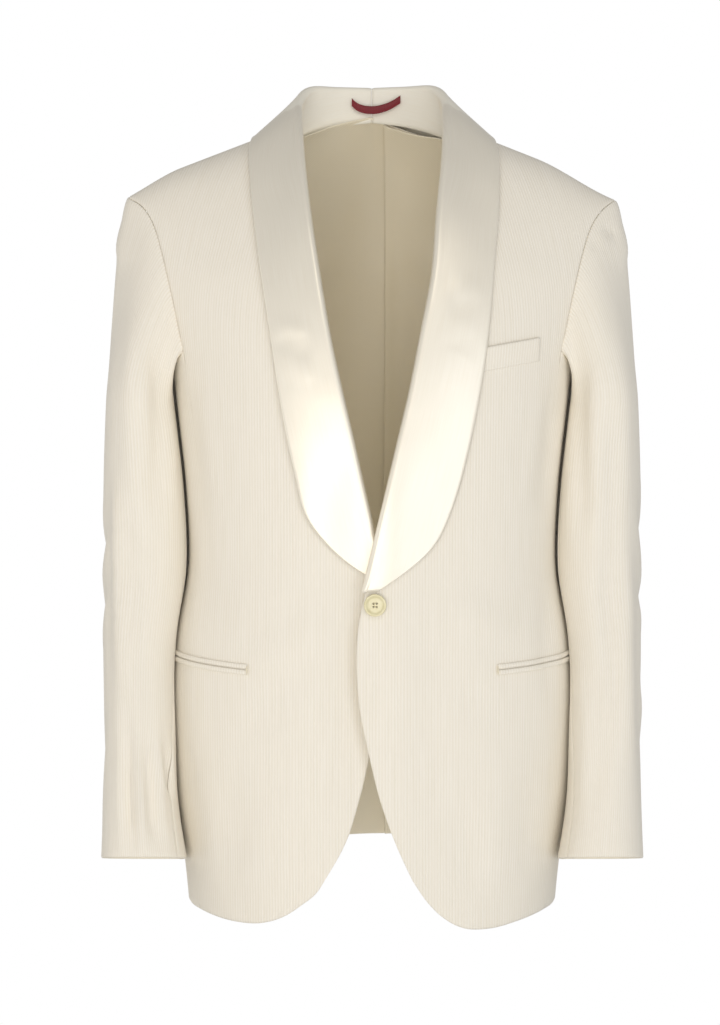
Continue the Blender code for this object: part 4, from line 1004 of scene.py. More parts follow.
# ---- sleeves -------------------------------------------------------------------------------
@dataclass
class Sleeves:
    """Two-piece sleeves, set into the armholes and filled out as by an arm."""

    body: Body
    table: tuple[Place, ...] = (
        (-0.258, 0.1880, 0.2600, 0.0130, 0.1660, 0.00), (-0.330, 0.1780, 0.2630, 0.0130, 0.1560, 0.00),
        (-0.420, 0.1750, 0.2630, 0.0060, 0.1440, 0.04), (-0.500, 0.1855, 0.2620, -0.0120, 0.1300, 0.12),
        (-0.570, 0.1870, 0.2595, -0.0330, 0.1170, 0.18), (-0.635, 0.1870, 0.2590, -0.0510, 0.1060, 0.22),
        (-0.693, 0.1780, 0.2600, -0.0670, 0.0980, 0.22))
    square: float = 2.3
    front_seam: float = 0.395
    back_seam: float = 0.670
    seam_share: float = 0.0013
    armhole_gap: float = 0.0003
    clearance: float = 0.0030
    cap_swell: float = 0.034
    underarm_swell: float = 0.013
    arrival: float = 0.9            # how firmly the cap runs into the sleeve's own direction
    cap_clear: Place = (0.25, 0.60)     # shares of the cap between which it starts to keep clear of the body
    cap_blend: float = 0.5
    hem_cell: float = 0.028
    cap_cells: int = 34
    ring_cells: int = 78
    upper_cells: int = 62
    under_cells: int = 30
    folds: dict[Side, tuple[Fold, ...]] = field(default_factory=lambda: {
        Side.LEFT: (
            Fold(View.FRONT, ((0.203, -0.093), (0.209, -0.099), (0.213, -0.112)), 0.007, -0.0051),
            Fold(View.FRONT, ((0.214, -0.092), (0.227, -0.090), (0.238, -0.094)), 0.005, -0.0033),
            Fold(View.FRONT, ((0.225, -0.150), (0.229, -0.320), (0.226, -0.520), (0.228, -0.660)), 0.010, -0.0030),
            Fold(View.FRONT, ((0.201, -0.190), (0.199, -0.300), (0.204, -0.420)), 0.010, -0.0039),
            Fold(View.FRONT, ((0.246, -0.360), (0.244, -0.500), (0.247, -0.640)), 0.012, 0.0033),
            Fold(View.FRONT, ((0.205, -0.470), (0.213, -0.560), (0.208, -0.670)), 0.009, -0.0030),
            Fold(View.OUTSIDE, ((-0.040, -0.340), (0.006, -0.395), (0.052, -0.430)), 0.014, -0.0027),
            Fold(View.OUTSIDE, ((-0.055, -0.420), (-0.010, -0.450), (0.044, -0.505)), 0.012, -0.0023),
            Fold(View.OUTSIDE, ((-0.070, -0.520), (-0.035, -0.560), (0.000, -0.640)), 0.013, 0.0018),
            Fold(View.BACK, ((0.205, -0.200), (0.222, -0.300), (0.232, -0.400)), 0.014, -0.0049),
            Fold(View.BACK, ((0.246, -0.180), (0.236, -0.280), (0.226, -0.360)), 0.014, 0.0035),
            Fold(View.BACK, ((0.206, -0.420), (0.226, -0.440), (0.246, -0.438)), 0.010, -0.0041),
            Fold(View.BACK, ((0.210, -0.480), (0.226, -0.560), (0.222, -0.660)), 0.012, -0.0035)),
        Side.RIGHT: (
            Fold(View.FRONT, ((0.247, -0.300), (0.244, -0.420), (0.238, -0.560)), 0.009, 0.0039),
            Fold(View.FRONT, ((0.236, -0.530), (0.230, -0.585), (0.227, -0.640), (0.2245, -0.700)), 0.0065, -0.0051),
            Fold(View.FRONT, ((0.216, -0.545), (0.2127, -0.601), (0.2078, -0.638), (0.2010, -0.690)), 0.0065, -0.0051),
            Fold(View.FRONT, ((0.224, -0.560), (0.221, -0.620), (0.216, -0.690)), 0.006, 0.0036),
            Fold(View.FRONT, ((0.198, -0.570), (0.195, -0.600), (0.191, -0.640)), 0.006, -0.0045),
            Fold(View.FRONT, ((0.206, -0.170), (0.203, -0.280), (0.206, -0.400)), 0.011, -0.0039),
            Fold(View.FRONT, ((0.228, -0.140), (0.226, -0.260), (0.230, -0.380)), 0.012, 0.0024),
            Fold(View.OUTSIDE, ((-0.045, -0.350), (0.000, -0.402), (0.048, -0.424)), 0.013, -0.0025),
            Fold(View.OUTSIDE, ((-0.050, -0.410), (-0.014, -0.458), (0.036, -0.512)), 0.013, -0.0023),
            Fold(View.OUTSIDE, ((-0.060, -0.540), (-0.050, -0.600), (-0.040, -0.680)), 0.012, -0.0019),
            Fold(View.BACK, ((0.203, -0.190), (0.220, -0.310), (0.236, -0.390)), 0.014, -0.0046),
            Fold(View.BACK, ((0.204, -0.430), (0.224, -0.448), (0.248, -0.440)), 0.011, -0.0041),
            Fold(View.BACK, ((0.238, -0.500), (0.230, -0.590), (0.232, -0.680)), 0.012, -0.0032))})

    def loop(self, side: Side) -> tuple[Grid, Grid, Grid]:
        """Armhole from the shoulder tip forward: its points, the form's normals, and the way in."""
        cells = self.body.seam_cells
        front = self.body.side_edge(side, False)[cells:]
        back = self.body.side_edge(side, True)[cells:]
        under = self.body.side_body(side)[-1]
        domain = np.concatenate([front[::-4], under[4:-4:4], back[::4]])
        points = self.body.form.point(domain[:, 0], domain[:, 1], side)
        normals = self.body.form.normal(domain[:, 0], domain[:, 1], side)
        forward = unit(np.gradient(points, axis=0))
        return points, normals, unit(np.cross(normals, forward)) * side.value

    def ring(self, share: Grid, row: Grid, side: Side) -> Grid:
        """Points of a sleeve's ring, by share of the way round from its outer middle by the front."""
        table = hermite(np.arange(len(self.table)), np.array(self.table), row)
        height, inner, outer, middle, depth, tip = np.moveaxis(table, -1, 0)
        turns = np.linspace(0, 2 * np.pi, 289)
        power = 2.0 / self.square

        def bent(value: Grid) -> Grid:
            """Sine or cosine of a rounded square."""
            return np.sign(value) * np.abs(value) ** power

        across = 0.5 * (inner + outer) + 0.5 * (outer - inner) * bent(np.cos(turns))[:, None]
        deep = middle - 0.5 * depth * bent(np.sin(turns))[:, None]
        length = np.hypot(np.diff(across, axis=0), np.diff(deep, axis=0)).cumsum(axis=0)
        length = np.concatenate([np.zeros_like(length[:1]), length]) / length[-1]
        across = np.array([np.interp(share[k], length[:, k], across[:, k]) for k in range(len(share))])
        deep = np.array([np.interp(share[k], length[:, k], deep[:, k]) for k in range(len(share))])
        return np.stack([side.value * across, deep, height - tip * (deep - middle)], axis=-1)

    def surface(self, side: Side, share: Grid) -> tuple[Grid, Grid]:
        """Rows of the outer surface at shares of the way round, and the normals at the armhole."""
        points, normals, into = self.loop(side)
        length = run_length(points[None], 1)[0]
        knots = length / length[-1]
        place = share % 1.0
        start, normal = hermite(knots, points, place), unit(hermite(knots, normals, place))
        inward = unit(hermite(knots, into, place))
        low = 0.5 - 0.5 * np.cos(2 * np.pi * place)[:, None]
        leave = inward * (1.0 - 0.85 * low) + normal * (0.15 + 0.85 * low)
        start = start + inward * self.armhole_gap
        first, second = (self.ring(place, np.full(len(place), row), side) for row in (0.0, 0.05))
        fall = np.linalg.norm(first - start, axis=1, keepdims=True)
        leave = unit(leave) * (self.cap_swell + (self.underarm_swell - self.cap_swell) * low)
        arrive = unit(second - first) * fall * self.arrival
        rows = [start * (1 + 2 * step) * (1 - step) ** 2 + leave * step * (1 - step) ** 2
                + first * step ** 2 * (3 - 2 * step) + arrive * step ** 2 * (step - 1)
                for step in np.concatenate([[0.0, 0.02], np.linspace(0, 1, self.cap_cells + 1)[1:]])]
        steps = np.linspace(0, len(self.table) - 1, self.ring_cells + 1)[1:]
        steps = np.concatenate([steps[:-1], [steps[-1] - self.hem_cell, steps[-1]]])
        rows += [self.ring(place, np.full(len(place), row), side) for row in steps]
        return np.array(rows), normal

    def smooth(self, side: Side, share: Grid, nearest: Nearest) -> tuple[Grid, Grid]:
        """The uncreased outer surface clear of the body, and its normals."""
        turn = 0.01
        rows = []
        for place in (share, share - turn, share + turn):
            surface, first = self.surface(side, place)
            low, high = (part * self.cap_cells for part in self.cap_clear)
            start = smoothstep(np.arange(len(surface)), low, high)[:, None]
            moved = nearest.clear(surface, self.clearance, 0.0015)
            rows.append(surface + (moved - surface) * start[..., None])
            if place is share:
                armhole = first
        outer, before, after = rows
        normal = unit(np.cross(after - before, np.gradient(outer, axis=0))) * side.value
        blend = (1.0 - smoothstep(np.arange(len(outer)), 0.0, self.cap_blend * self.cap_cells))[:, None, None]
        return outer, unit(normal * (1 - blend) + armhole[None] * blend)

    def build(self) -> None:
        """Sew both sleeves, each of an upper and an under panel."""
        seam = self.seam_share
        for side in Side:
            nearest = Nearest(self.body.form, side)
            around, normals = self.smooth(side, np.linspace(0, 1, 97)[:-1], nearest)
            drape = Drape(around, normals, side, self.folds[side])
            for part, first, last, cells in (
                    ("upper", self.back_seam - 1.0 + seam, self.front_seam - seam, self.upper_cells),
                    ("under", self.front_seam + seam, self.back_seam - seam, self.under_cells)):
                share = first + (last - first) * edged(cells, 0.4 * (last - first))
                outer, normal = self.smooth(side, share, nearest)
                length = run_length(outer, 0)
                fade = smoothstep(length, 0.0, 0.03)
                outer = outer + normal * (drape.rise(outer) * fade)[..., None]
                girth = 0.40 * share[None] * np.ones((len(outer), 1))
                name = f"{part}_sleeve_{side.word}"
                piece = shell(name + "_cloth", outer, outer - normal * self.body.cloth,
                              np.stack([girth, -length], axis=-1),
                              [self.body.wardrobe.silk, self.body.wardrobe.lining])
                dress(piece, name)
                declare(piece, outer)


# ---- shawl ---------------------------------------------------------------------------------
@dataclass
class Shawl:
    """The satin shawl: collar and lapels in one, cut in two halves that meet at the nape.

    Each station of a half gives the roll's point, the outer edge, the foot of the stand, and how
    far the section lies on the body, from 0 at the neck to 1 below it.
    """

    form: Form
    wardrobe: Wardrobe
    wall: float = 0.0020
    rise: float = 0.0037
    drop: float = 0.0043
    facing: float = 0.020
    seam_gap: float = 0.0003
    bulge: float = 0.0015
    lies_from: float = 0.4
    cells: int = 168
    inner_cells: int = 9
    roll_cells: int = 12
    outer_cells: int = 34
    crease_row: int = 60            # creases are drawn from this row on, over the outermost columns
    crease_columns: int = 20
    neck: dict[Side, tuple] = field(default_factory=lambda: {
        Side.LEFT: (
            ((0.0000, 0.0760, 0.0560), (0.0000, 0.0900, 0.0080), (0.0000, 0.0655, 0.0210), 0.0),
            ((0.0360, 0.0680, 0.0565), (0.0550, 0.0800, 0.0040), (0.0350, 0.0580, 0.0160), 0.0),
            ((0.0600, 0.0460, 0.0550), (0.0920, 0.0500, 0.0000), (0.0590, 0.0430, 0.0080), 0.0),
            ((0.0690, 0.0200, 0.0430), (0.1100, 0.0120, -0.0060), (0.0760, 0.0180, -0.0010), 0.0),
            ((0.0690, -0.0150, 0.0190), (0.1165, -0.0200, -0.0180), (0.0780, -0.0120, -0.0060), 0.1),
            ((0.0670, -0.0470, -0.0170), (0.1190, -0.0500, -0.0480), (0.0760, -0.0380, -0.0240), 0.7)),
        Side.RIGHT: (
            ((0.0000, 0.0760, 0.0560), (0.0000, 0.0900, 0.0080), (0.0000, 0.0655, 0.0210), 0.0),
            ((0.0360, 0.0680, 0.0560), (0.0550, 0.0800, 0.0040), (0.0350, 0.0580, 0.0160), 0.0),
            ((0.0600, 0.0460, 0.0540), (0.0920, 0.0500, 0.0000), (0.0590, 0.0430, 0.0080), 0.0),
            ((0.0690, 0.0200, 0.0410), (0.1090, 0.0120, -0.0060), (0.0760, 0.0180, -0.0010), 0.0),
            ((0.0685, -0.0150, 0.0180), (0.1145, -0.0200, -0.0190), (0.0780, -0.0120, -0.0060), 0.1),
            ((0.0655, -0.0470, -0.0180), (0.1145, -0.0500, -0.0480), (0.0755, -0.0380, -0.0240), 0.7))})
    lapel: dict[Side, tuple] = field(default_factory=lambda: {
        Side.LEFT: (
            ((0.0604, -0.0768), (0.1185, -0.0800)), ((0.0549, -0.1380), (0.1125, -0.1370)),
            ((0.0458, -0.1850), (0.1075, -0.1900)), ((0.0337, -0.2467), (0.0995, -0.2449)),
            ((0.0222, -0.2950), (0.0900, -0.2930)), ((0.0110, -0.3430), (0.0785, -0.3380)),
            ((0.0036, -0.3750), (0.0690, -0.3645)), ((-0.0005, -0.3930), (0.0600, -0.3840)),
            ((-0.0040, -0.4080), (0.0449, -0.4008)), ((-0.0070, -0.4200), (0.0236, -0.4166)),
            ((-0.0100, -0.4310), (0.0040, -0.4300))),
        Side.RIGHT: (
            ((0.0584, -0.0768), (0.1120, -0.0800)), ((0.0510, -0.1257), (0.1050, -0.1280)),
            ((0.0387, -0.1977), (0.0943, -0.1949)), ((0.0266, -0.2523), (0.0868, -0.2449)),
            ((0.0178, -0.2902), (0.0804, -0.2810)), ((0.0093, -0.3283), (0.0715, -0.3220)),
            ((-0.0022, -0.3775), (0.0538, -0.3734)), ((-0.0060, -0.3930), (0.0360, -0.3935)),
            ((-0.0090, -0.4050), (0.0190, -0.4080)), ((-0.0110, -0.4140), (0.0030, -0.4165)))})
    folds: dict[Side, tuple[Fold, ...]] = field(default_factory=lambda: {
        Side.LEFT: (
            Fold(View.FRONT, ((0.044, -0.176), (0.072, -0.166), (0.104, -0.172)), 0.0098, -0.00035),
            Fold(View.FRONT, ((0.050, -0.158), (0.080, -0.148), (0.108, -0.152)), 0.0092, 0.00028),
            Fold(View.FRONT, ((0.066, -0.206), (0.086, -0.200), (0.104, -0.202)), 0.0103, -0.00022),
            Fold(View.FRONT, ((0.062, -0.060), (0.072, -0.110), (0.070, -0.160)), 0.0161, 0.00026)),
        Side.RIGHT: (
            Fold(View.FRONT, ((0.040, -0.214), (0.066, -0.203), (0.096, -0.196)), 0.0092, -0.00043),
            Fold(View.FRONT, ((0.050, -0.193), (0.074, -0.186), (0.098, -0.182)), 0.0086, 0.00035),
            Fold(View.FRONT, ((0.044, -0.236), (0.066, -0.226), (0.090, -0.216)), 0.0092, 0.00026),
            Fold(View.FRONT, ((0.060, -0.060), (0.070, -0.110), (0.064, -0.165)), 0.0149, 0.00022))})

    def stations(self, side: Side) -> tuple[Grid, Grid, Grid, Grid]:
        """Roll, outer edge, foot of the stand and how far it lies, at even steps of the roll line."""
        nearest, mirror = Nearest(self.form, side), np.array([side.value, 1.0, 1.0])
        rows = []
        for roll, edge, seam, lies in self.neck[side]:
            edge = nearest.over((np.array(edge) * mirror)[None], self.rise)[0]
            rows.append((np.array(roll) * mirror, edge, np.array(seam) * mirror, lies))
        for roll, edge in self.lapel[side]:
            domain = self.form.locate([roll[0], edge[0], roll[0] + self.facing], [roll[1], edge[1], roll[1]], side)
            rise = np.array([0.5 * (self.rise - self.drop), self.rise, -self.drop])
            rows.append((*self.form.laid(domain, side, rise, True), 1.0))
        rolls, edges, seams = (np.array([row[k] for row in rows]) for k in range(3))
        for part in (rolls, edges, seams):
            part[0, 0] = side.value * 0.5 * self.seam_gap
        knots = run_length(rolls[None], 1)[0]
        at = knots[-1] * edged(self.cells, knots[-1])
        lies = hermite(knots, np.array([row[3] for row in rows]), at).clip(0, 1)[:, None]
        return hermite(knots, rolls, at), hermite(knots, edges, at), hermite(knots, seams, at), lies

    def middle(self, side: Side) -> Grid:
        """Middle surface of a half: rows run along it, columns from the seam to the edge."""
        nearest, radius = Nearest(self.form, side), 0.5 * (self.rise + self.drop)
        roll, edge, seam, lies = self.stations(side)
        low = smoothstep(lies, self.lies_from - 0.2, self.lies_from + 0.3)
        roll = roll + (nearest.clear(roll, 0.0) - roll) * low
        normal = nearest.drop(roll)[1]
        down = unit(unit(0.5 * (seam + edge) - roll) * (1 - lies) + unit(edge - roll) * lies)
        out = unit(edge - seam) * (1 - lies) + normal * lies
        out = unit(out - down * (out * down).sum(axis=-1, keepdims=True))
        centre = roll + down * radius
        start_in, start_out = centre - out * radius, centre + out * radius
        start_in = start_in + (nearest.beneath(start_in, self.drop) - start_in) * low
        columns = []
        for share in np.linspace(0, 1, self.inner_cells + 1)[:-1]:
            flat = seam + (start_in - seam) * share
            column = flat * (1 - lies) + nearest.over(flat, -self.drop) * lies
            columns.append(column + (nearest.beneath(column, self.drop) - column) * low)
        columns.append(start_in)
        for turn in np.linspace(-0.5 * np.pi, 0.5 * np.pi, self.roll_cells + 1)[1:]:
            columns.append(centre - down * radius * np.cos(turn) + out * radius * np.sin(turn))
        for share in edged(self.outer_cells, 0.06)[2:]:
            flat = start_out + (edge - start_out) * share
            free = flat + out * self.bulge * 4 * share * (1 - share)
            laid = free * (1 - lies) + nearest.over(flat, self.rise) * lies
            columns.append(nearest.clear(laid, self.rise))
        grid = np.stack(columns, axis=1)
        for _ in range(6):
            grid[1:-1] = 0.5 * grid[1:-1] + 0.25 * (grid[:-2] + grid[2:])
        return grid

    def build(self) -> None:
        """Sew both halves of the shawl."""
        for side in Side:
            middle = self.middle(side)
            normal = grid_normals(middle)
            normal[0, :, 0] = 0.0
            normal = unit(normal)
            outward = normal * -np.sign(normal[-20, -8, 1])
            drawn = np.s_[self.crease_row:, -self.crease_columns:]
            drape = Drape(middle[drawn], outward[drawn], side, self.folds[side])
            laid = np.arange(middle.shape[1]) > self.inner_cells + self.roll_cells // 2
            rise = drape.rise(middle) * smoothstep(laid.cumsum(), 0, 8)[None]
            middle = middle + outward * rise[..., None]
            half = outward * 0.5 * self.wall
            length = np.repeat(run_length(middle, 0)[:, -1:], middle.shape[1], axis=1)
            uv = np.stack([run_length(middle, 1), length], axis=-1)
            name = f"shawl_{side.word}"
            piece = shell(name + "_cloth", middle + half, middle - half, uv, [self.wardrobe.satin])
            # painted light: the inside of the stand at the back of the neck gets the paler, unshining copy of the
            # satin, so that it looks lit
            piece.data.materials.append(self.wardrobe.stand)
            for face in piece.data.polygons:
                if face.center.z > 0.0 and face.center.y > 0.0 and face.normal.y < -0.25:
                    face.material_index = 1
            dress(piece, name)
            declare(piece, middle)


# ---- pockets -------------------------------------------------------------------------------
@dataclass
class Pockets:
    """Jetted hip pockets with bar tacks, and the welt of the chest pocket."""

    body: Body
    jet_height: float = 0.0048
    jet_wall: float = 0.0012
    slit: float = 0.0010
    rise: float = 0.0007
    start: Place = (0.1175, -0.5065)
    end: Place = (98.0, -0.4975)
    welt_start: Place = (0.0630, -0.2110)
    welt_end: Place = (0.1566, -0.1939)
    welt_height: float = 0.0225
    tack_length: float = 0.0085
    tack_radius: float = 0.00065
    tack_rise: float = 0.0003
    tack_ridge: float = 0.22        # every second stitch of a tack is this share thinner

    def strip(self, name: str, domain: Grid, side: Side, drape: Drape, puff: float,
              tilt: Place = (0.0, 0.0)) -> bpy.types.Object:
        """A narrow strip of silk over the cloth, swollen along its middle.

        Args:
            name: The CAD node that it stands for.
            domain: Its places on the form.
            side: Which half it is on.
            drape: The body's creases, which it follows.
            puff: How far its middle swells.
            tilt: How much further out its lower and its upper edge stand.

        Returns:
            The strip.
        """
        form = self.body.form
        smooth = form.laid(domain, side)
        swell = np.sin(np.pi * np.linspace(0, 1, len(domain)))[:, None] * puff
        lean = tilt[0] + (tilt[1] - tilt[0]) * smoothstep(np.linspace(0, 1, len(domain)), 0.0, 1.0)[:, None]
        rise = drape.rise(smooth) + self.rise + lean
        outer = form.laid(domain, side, rise + self.jet_wall + swell, True)
        inner = form.laid(domain, side, rise, True)
        piece = shell(name + "_cloth", outer, inner, self.body.cloth_uv(domain, smooth, side, 0.0),
                      [self.body.wardrobe.silk])
        dress(piece, name)
        declare(piece, outer)
        return piece

    def tack(self, name: str, side: Side, drape: Drape, across: float, height: float) -> None:
        """A bar of close stitches over one end of a pocket."""
        form = self.body.form
        turns, cells = 10, 26
        share = np.linspace(0, 1, cells + 1)
        spot = form.locate(np.full(cells + 1, across), height + self.tack_length * (share - 0.5), side)
        rise = drape.rise(form.laid(spot, side)) + self.rise + self.jet_wall + self.tack_rise
        line = form.laid(spot, side, rise, True)
        up = unit(np.gradient(line, axis=0))
        out = form.normal(spot[:, 0], spot[:, 1], side)
        over = unit(np.cross(up, out))
        angle = np.linspace(0, 2 * np.pi, turns, endpoint=False)
        radius = self.tack_radius * (1.0 - self.tack_ridge * (np.arange(cells + 1) % 2))
        radius = radius * np.sqrt(np.sin(np.pi * (0.02 + 0.96 * share)))
        around = (over[:, None] * np.cos(angle)[None, :, None] + out[:, None] * np.sin(angle)[None, :, None])
        points = line[:, None] + around * radius[:, None, None]
        index = np.arange((cells + 1) * turns).reshape(cells + 1, turns)
        after = np.roll(index, -1, axis=1)
        faces = [tuple(int(k) for k in face) for face in np.stack(
            [index[:-1], after[:-1], after[1:], index[1:]], axis=-1).reshape(-1, 4)]
        faces += [tuple(int(k) for k in index[0][::-1]), tuple(int(k) for k in index[-1])]
        uv = np.zeros(((cells + 1) * turns, 2))
        piece = mesh_object(name, points.reshape(-1, 3), faces, uv, [self.body.wardrobe.thread], 0)
        set_outward(piece)
        dress(piece, "")

    def build(self) -> None:
        """Sew the hip pockets and the chest welt."""
        form = self.body.form
        for side in Side:
            drape = self.body.drape(side)
            first = float(form.locate(self.start[0], self.start[1], side)[0, 0])
            share = edged(50, 0.11)
            angle, height = first + (self.end[0] - first) * share, self.start[1] + (self.end[1] - self.start[1]) * share
            half = 0.5 * self.slit
            for part, low, high in (("upper", half, half + self.jet_height), ("lower", -half - self.jet_height, -half)):
                domain = np.array([[(turn, float(form.level_at(level + low + (high - low) * k))) for turn, level in
                                    zip(angle, height)] for k in edged(6, self.jet_height, 0.0005)])
                self.strip(f"hip_jet_{part}_{side.word}", domain, side, drape, 0.0006)
            self.tack(f"hip_tack_{side.word}", side, drape, self.start[0] - 0.0005, self.start[1])
        share = edged(40, 0.10)[:, None]
        top = share * (np.array(self.welt_end) - self.welt_start) + self.welt_start
        edge = form.locate(top[:, 0], top[:, 1], Side.LEFT)
        foot = form.locate(top[:, 0] + 0.001, top[:, 1] - self.welt_height, Side.LEFT)
        rows = edged(12, self.welt_height)[:, None, None]
        self.strip("chest_welt", foot[None] + (edge - foot)[None] * rows, Side.LEFT, self.body.drape(Side.LEFT), 0.0003,
                   (-0.0013, 0.0010))


# ---- trims ---------------------------------------------------------------------------------
def deselect() -> None:
    """Leave no object selected."""
    for other in bpy.context.selected_objects:
        other.select_set(False)


def only(piece: bpy.types.Object) -> None:
    """Select one object and make it active."""
    deselect()
    piece.select_set(True)
    bpy.context.view_layer.objects.active = piece


def set_outward(piece: bpy.types.Object) -> None:
    """Turn all faces of a closed piece outwards."""
    only(piece)
    bpy.ops.object.mode_set(mode="EDIT")
    bpy.ops.mesh.select_all(action="SELECT")
    bpy.ops.mesh.normals_make_consistent(inside=False)
    bpy.ops.object.mode_set(mode="OBJECT")


def settle(piece: bpy.types.Object) -> None:
    """Apply a piece's modifiers, place, turn and size to its mesh."""
    only(piece)
    for modifier in list(piece.modifiers):
        bpy.ops.object.modifier_apply(modifier=modifier.name)
    bpy.ops.object.transform_apply(location=True, rotation=True, scale=True)


@dataclass
class Button:
    """Four-hole button, turned with a raised rim, sewn on by two bars of thread."""

    body: Body
    place: Place = (0.0022, -0.4425)
    seat: float = 0.0022
    radius: float = 0.0104
    thick: float = 0.0034
    dish: float = 0.0010
    hole_radius: float = 0.0010
    hole_spread: float = 0.0021
    rim: float = 0.0018
    rim_slope: float = 0.0016
    rim_round: float = 0.0007
    thread_radius: float = 0.00048
    shank_radius: float = 0.0024

    def build(self) -> None:
        """Turn the button, drill it and sew it on."""
        form, left = self.body.form, Side.LEFT
        spot = form.locate(self.place[0], self.place[1], left)
        rise = self.body.drape(left).rise(form.laid(spot, left)) + self.seat
        seat = Vector(form.laid(spot, left, rise, True)[0])
        facing = Vector(form.normal(spot[:, 0], spot[:, 1], left)[0])
        turn = facing.to_track_quat("Z", "Y").to_euler()
        deselect()
        bpy.ops.mesh.primitive_cylinder_add(vertices=64, radius=self.radius, depth=self.thick)
        disc = bpy.context.object
        disc.name = disc.data.name = "button_disc"
        bpy.ops.object.mode_set(mode="EDIT")
        bpy.ops.mesh.select_mode(type="FACE")
        bpy.ops.mesh.select_all(action="DESELECT")
        bpy.ops.object.mode_set(mode="OBJECT")
        for face in disc.data.polygons:
            face.select = face.normal.z > 0.9
        bpy.ops.object.mode_set(mode="EDIT")
        bpy.ops.mesh.inset(thickness=self.rim, depth=0.0)
        bpy.ops.mesh.inset(thickness=self.rim_slope, depth=-self.dish)
        bpy.ops.object.mode_set(mode="OBJECT")
        edge = disc.modifiers.new("rim", "BEVEL")
        edge.width, edge.segments = self.rim_round, 4
        edge.limit_method, edge.angle_limit = "ANGLE", math.radians(25)
        for across, up in ((1, 1), (1, -1), (-1, -1), (-1, 1)):
            only(disc)
            bpy.ops.mesh.primitive_cylinder_add(
                vertices=20, radius=self.hole_radius, depth=0.02,
                location=(across * self.hole_spread * math.sqrt(0.5), up * self.hole_spread * math.sqrt(0.5), 0.0))
            cutter = bpy.context.object
            hole = disc.modifiers.new("hole", "BOOLEAN")
            hole.operation, hole.object = "DIFFERENCE", cutter
            only(disc)
            bpy.ops.object.modifier_apply(modifier=disc.modifiers[0].name if len(disc.modifiers) > 1 else hole.name)
            if disc.modifiers:
                bpy.ops.object.modifier_apply(modifier=disc.modifiers[0].name)
            bpy.data.objects.remove(cutter, do_unlink=True)
        disc.location, disc.rotation_euler = seat + facing * 0.5 * self.thick, turn
        settle(disc)
        bpy.ops.object.shade_smooth_by_angle(angle=math.radians(35))
        disc.data.materials.append(self.body.wardrobe.button)
        dress(disc, "button")
        self.sew(seat, facing, turn)

    def sew(self, seat: Vector, facing: Vector, turn: object) -> None:
        """Two bars of thread over the dish, and the wound shank under the button."""
        reach = self.hole_spread * math.sqrt(0.5)
        for number, up in enumerate((-1, 1)):
            bpy.ops.mesh.primitive_torus_add(major_radius=reach, minor_radius=self.thread_radius,
                                             major_segments=28, minor_segments=8)
            bar = bpy.context.object
            bar.name = bar.data.name = f"button_thread_{number}"
            bar.rotation_euler = (math.radians(90), 0.0, 0.0)
            bar.location, bar.scale = (0.0, up * reach, self.thick * 0.5 - self.dish - 0.0001), (1.0, 1.25, 0.55)
            settle(bar)
            bar.location, bar.rotation_euler = seat + facing * 0.5 * self.thick, turn
            settle(bar)
            bpy.ops.object.shade_smooth_by_angle(angle=math.radians(60))
            bar.data.materials.append(self.body.wardrobe.thread)
            dress(bar, "")
        bpy.ops.mesh.primitive_cylinder_add(vertices=24, radius=self.shank_radius, depth=self.seat - 0.0003)
        shank = bpy.context.object
        shank.name = shank.data.name = "button_shank"
        waist = shank.modifiers.new("round", "BEVEL")
        waist.width, waist.segments = 0.0005, 3
        shank.location, shank.rotation_euler = seat - facing * 0.5 * self.seat, turn
        settle(shank)
        bpy.ops.object.shade_smooth_by_angle(angle=math.radians(35))
        shank.data.materials.append(self.body.wardrobe.thread)
        dress(shank, "")


@dataclass
class HangerLoop:
    """Burgundy tape inside the neck, sagging between its two sewn ends."""

    wardrobe: Wardrobe
    width: float = 0.0078
    wall: float = 0.0010
    cells: int = 60
    line: tuple[Place, ...] = ((-0.0200, 0.0615, 0.0415), (-0.0150, 0.0610, 0.0370), (0.0020, 0.0610, 0.0335),
                               (0.0150, 0.0608, 0.0365), (0.0285, 0.0600, 0.0440))

    def build(self) -> None:
        """Weave the tape."""
        share = edged(self.cells, 0.05, 0.0004)
        line = along(self.line, share)
        across = np.linspace(-0.5, 0.5, 9)[:, None, None] * np.array([0.0, 0.0, self.width])
        front = line[None] + across
        curl = 0.0004 * np.cos(np.linspace(-1, 1, 9) * np.pi)[:, None] * np.ones(len(share))[None]
        front[..., 1] += curl
        back = front + np.array([0.0, self.wall, 0.0])
        uv = np.stack([run_length(front, 1), run_length(front, 0)], axis=-1)
        piece = shell("hanger_loop_tape", front, back, uv, [self.wardrobe.tape])
        dress(piece, "hanger_loop")
        declare(piece, front)


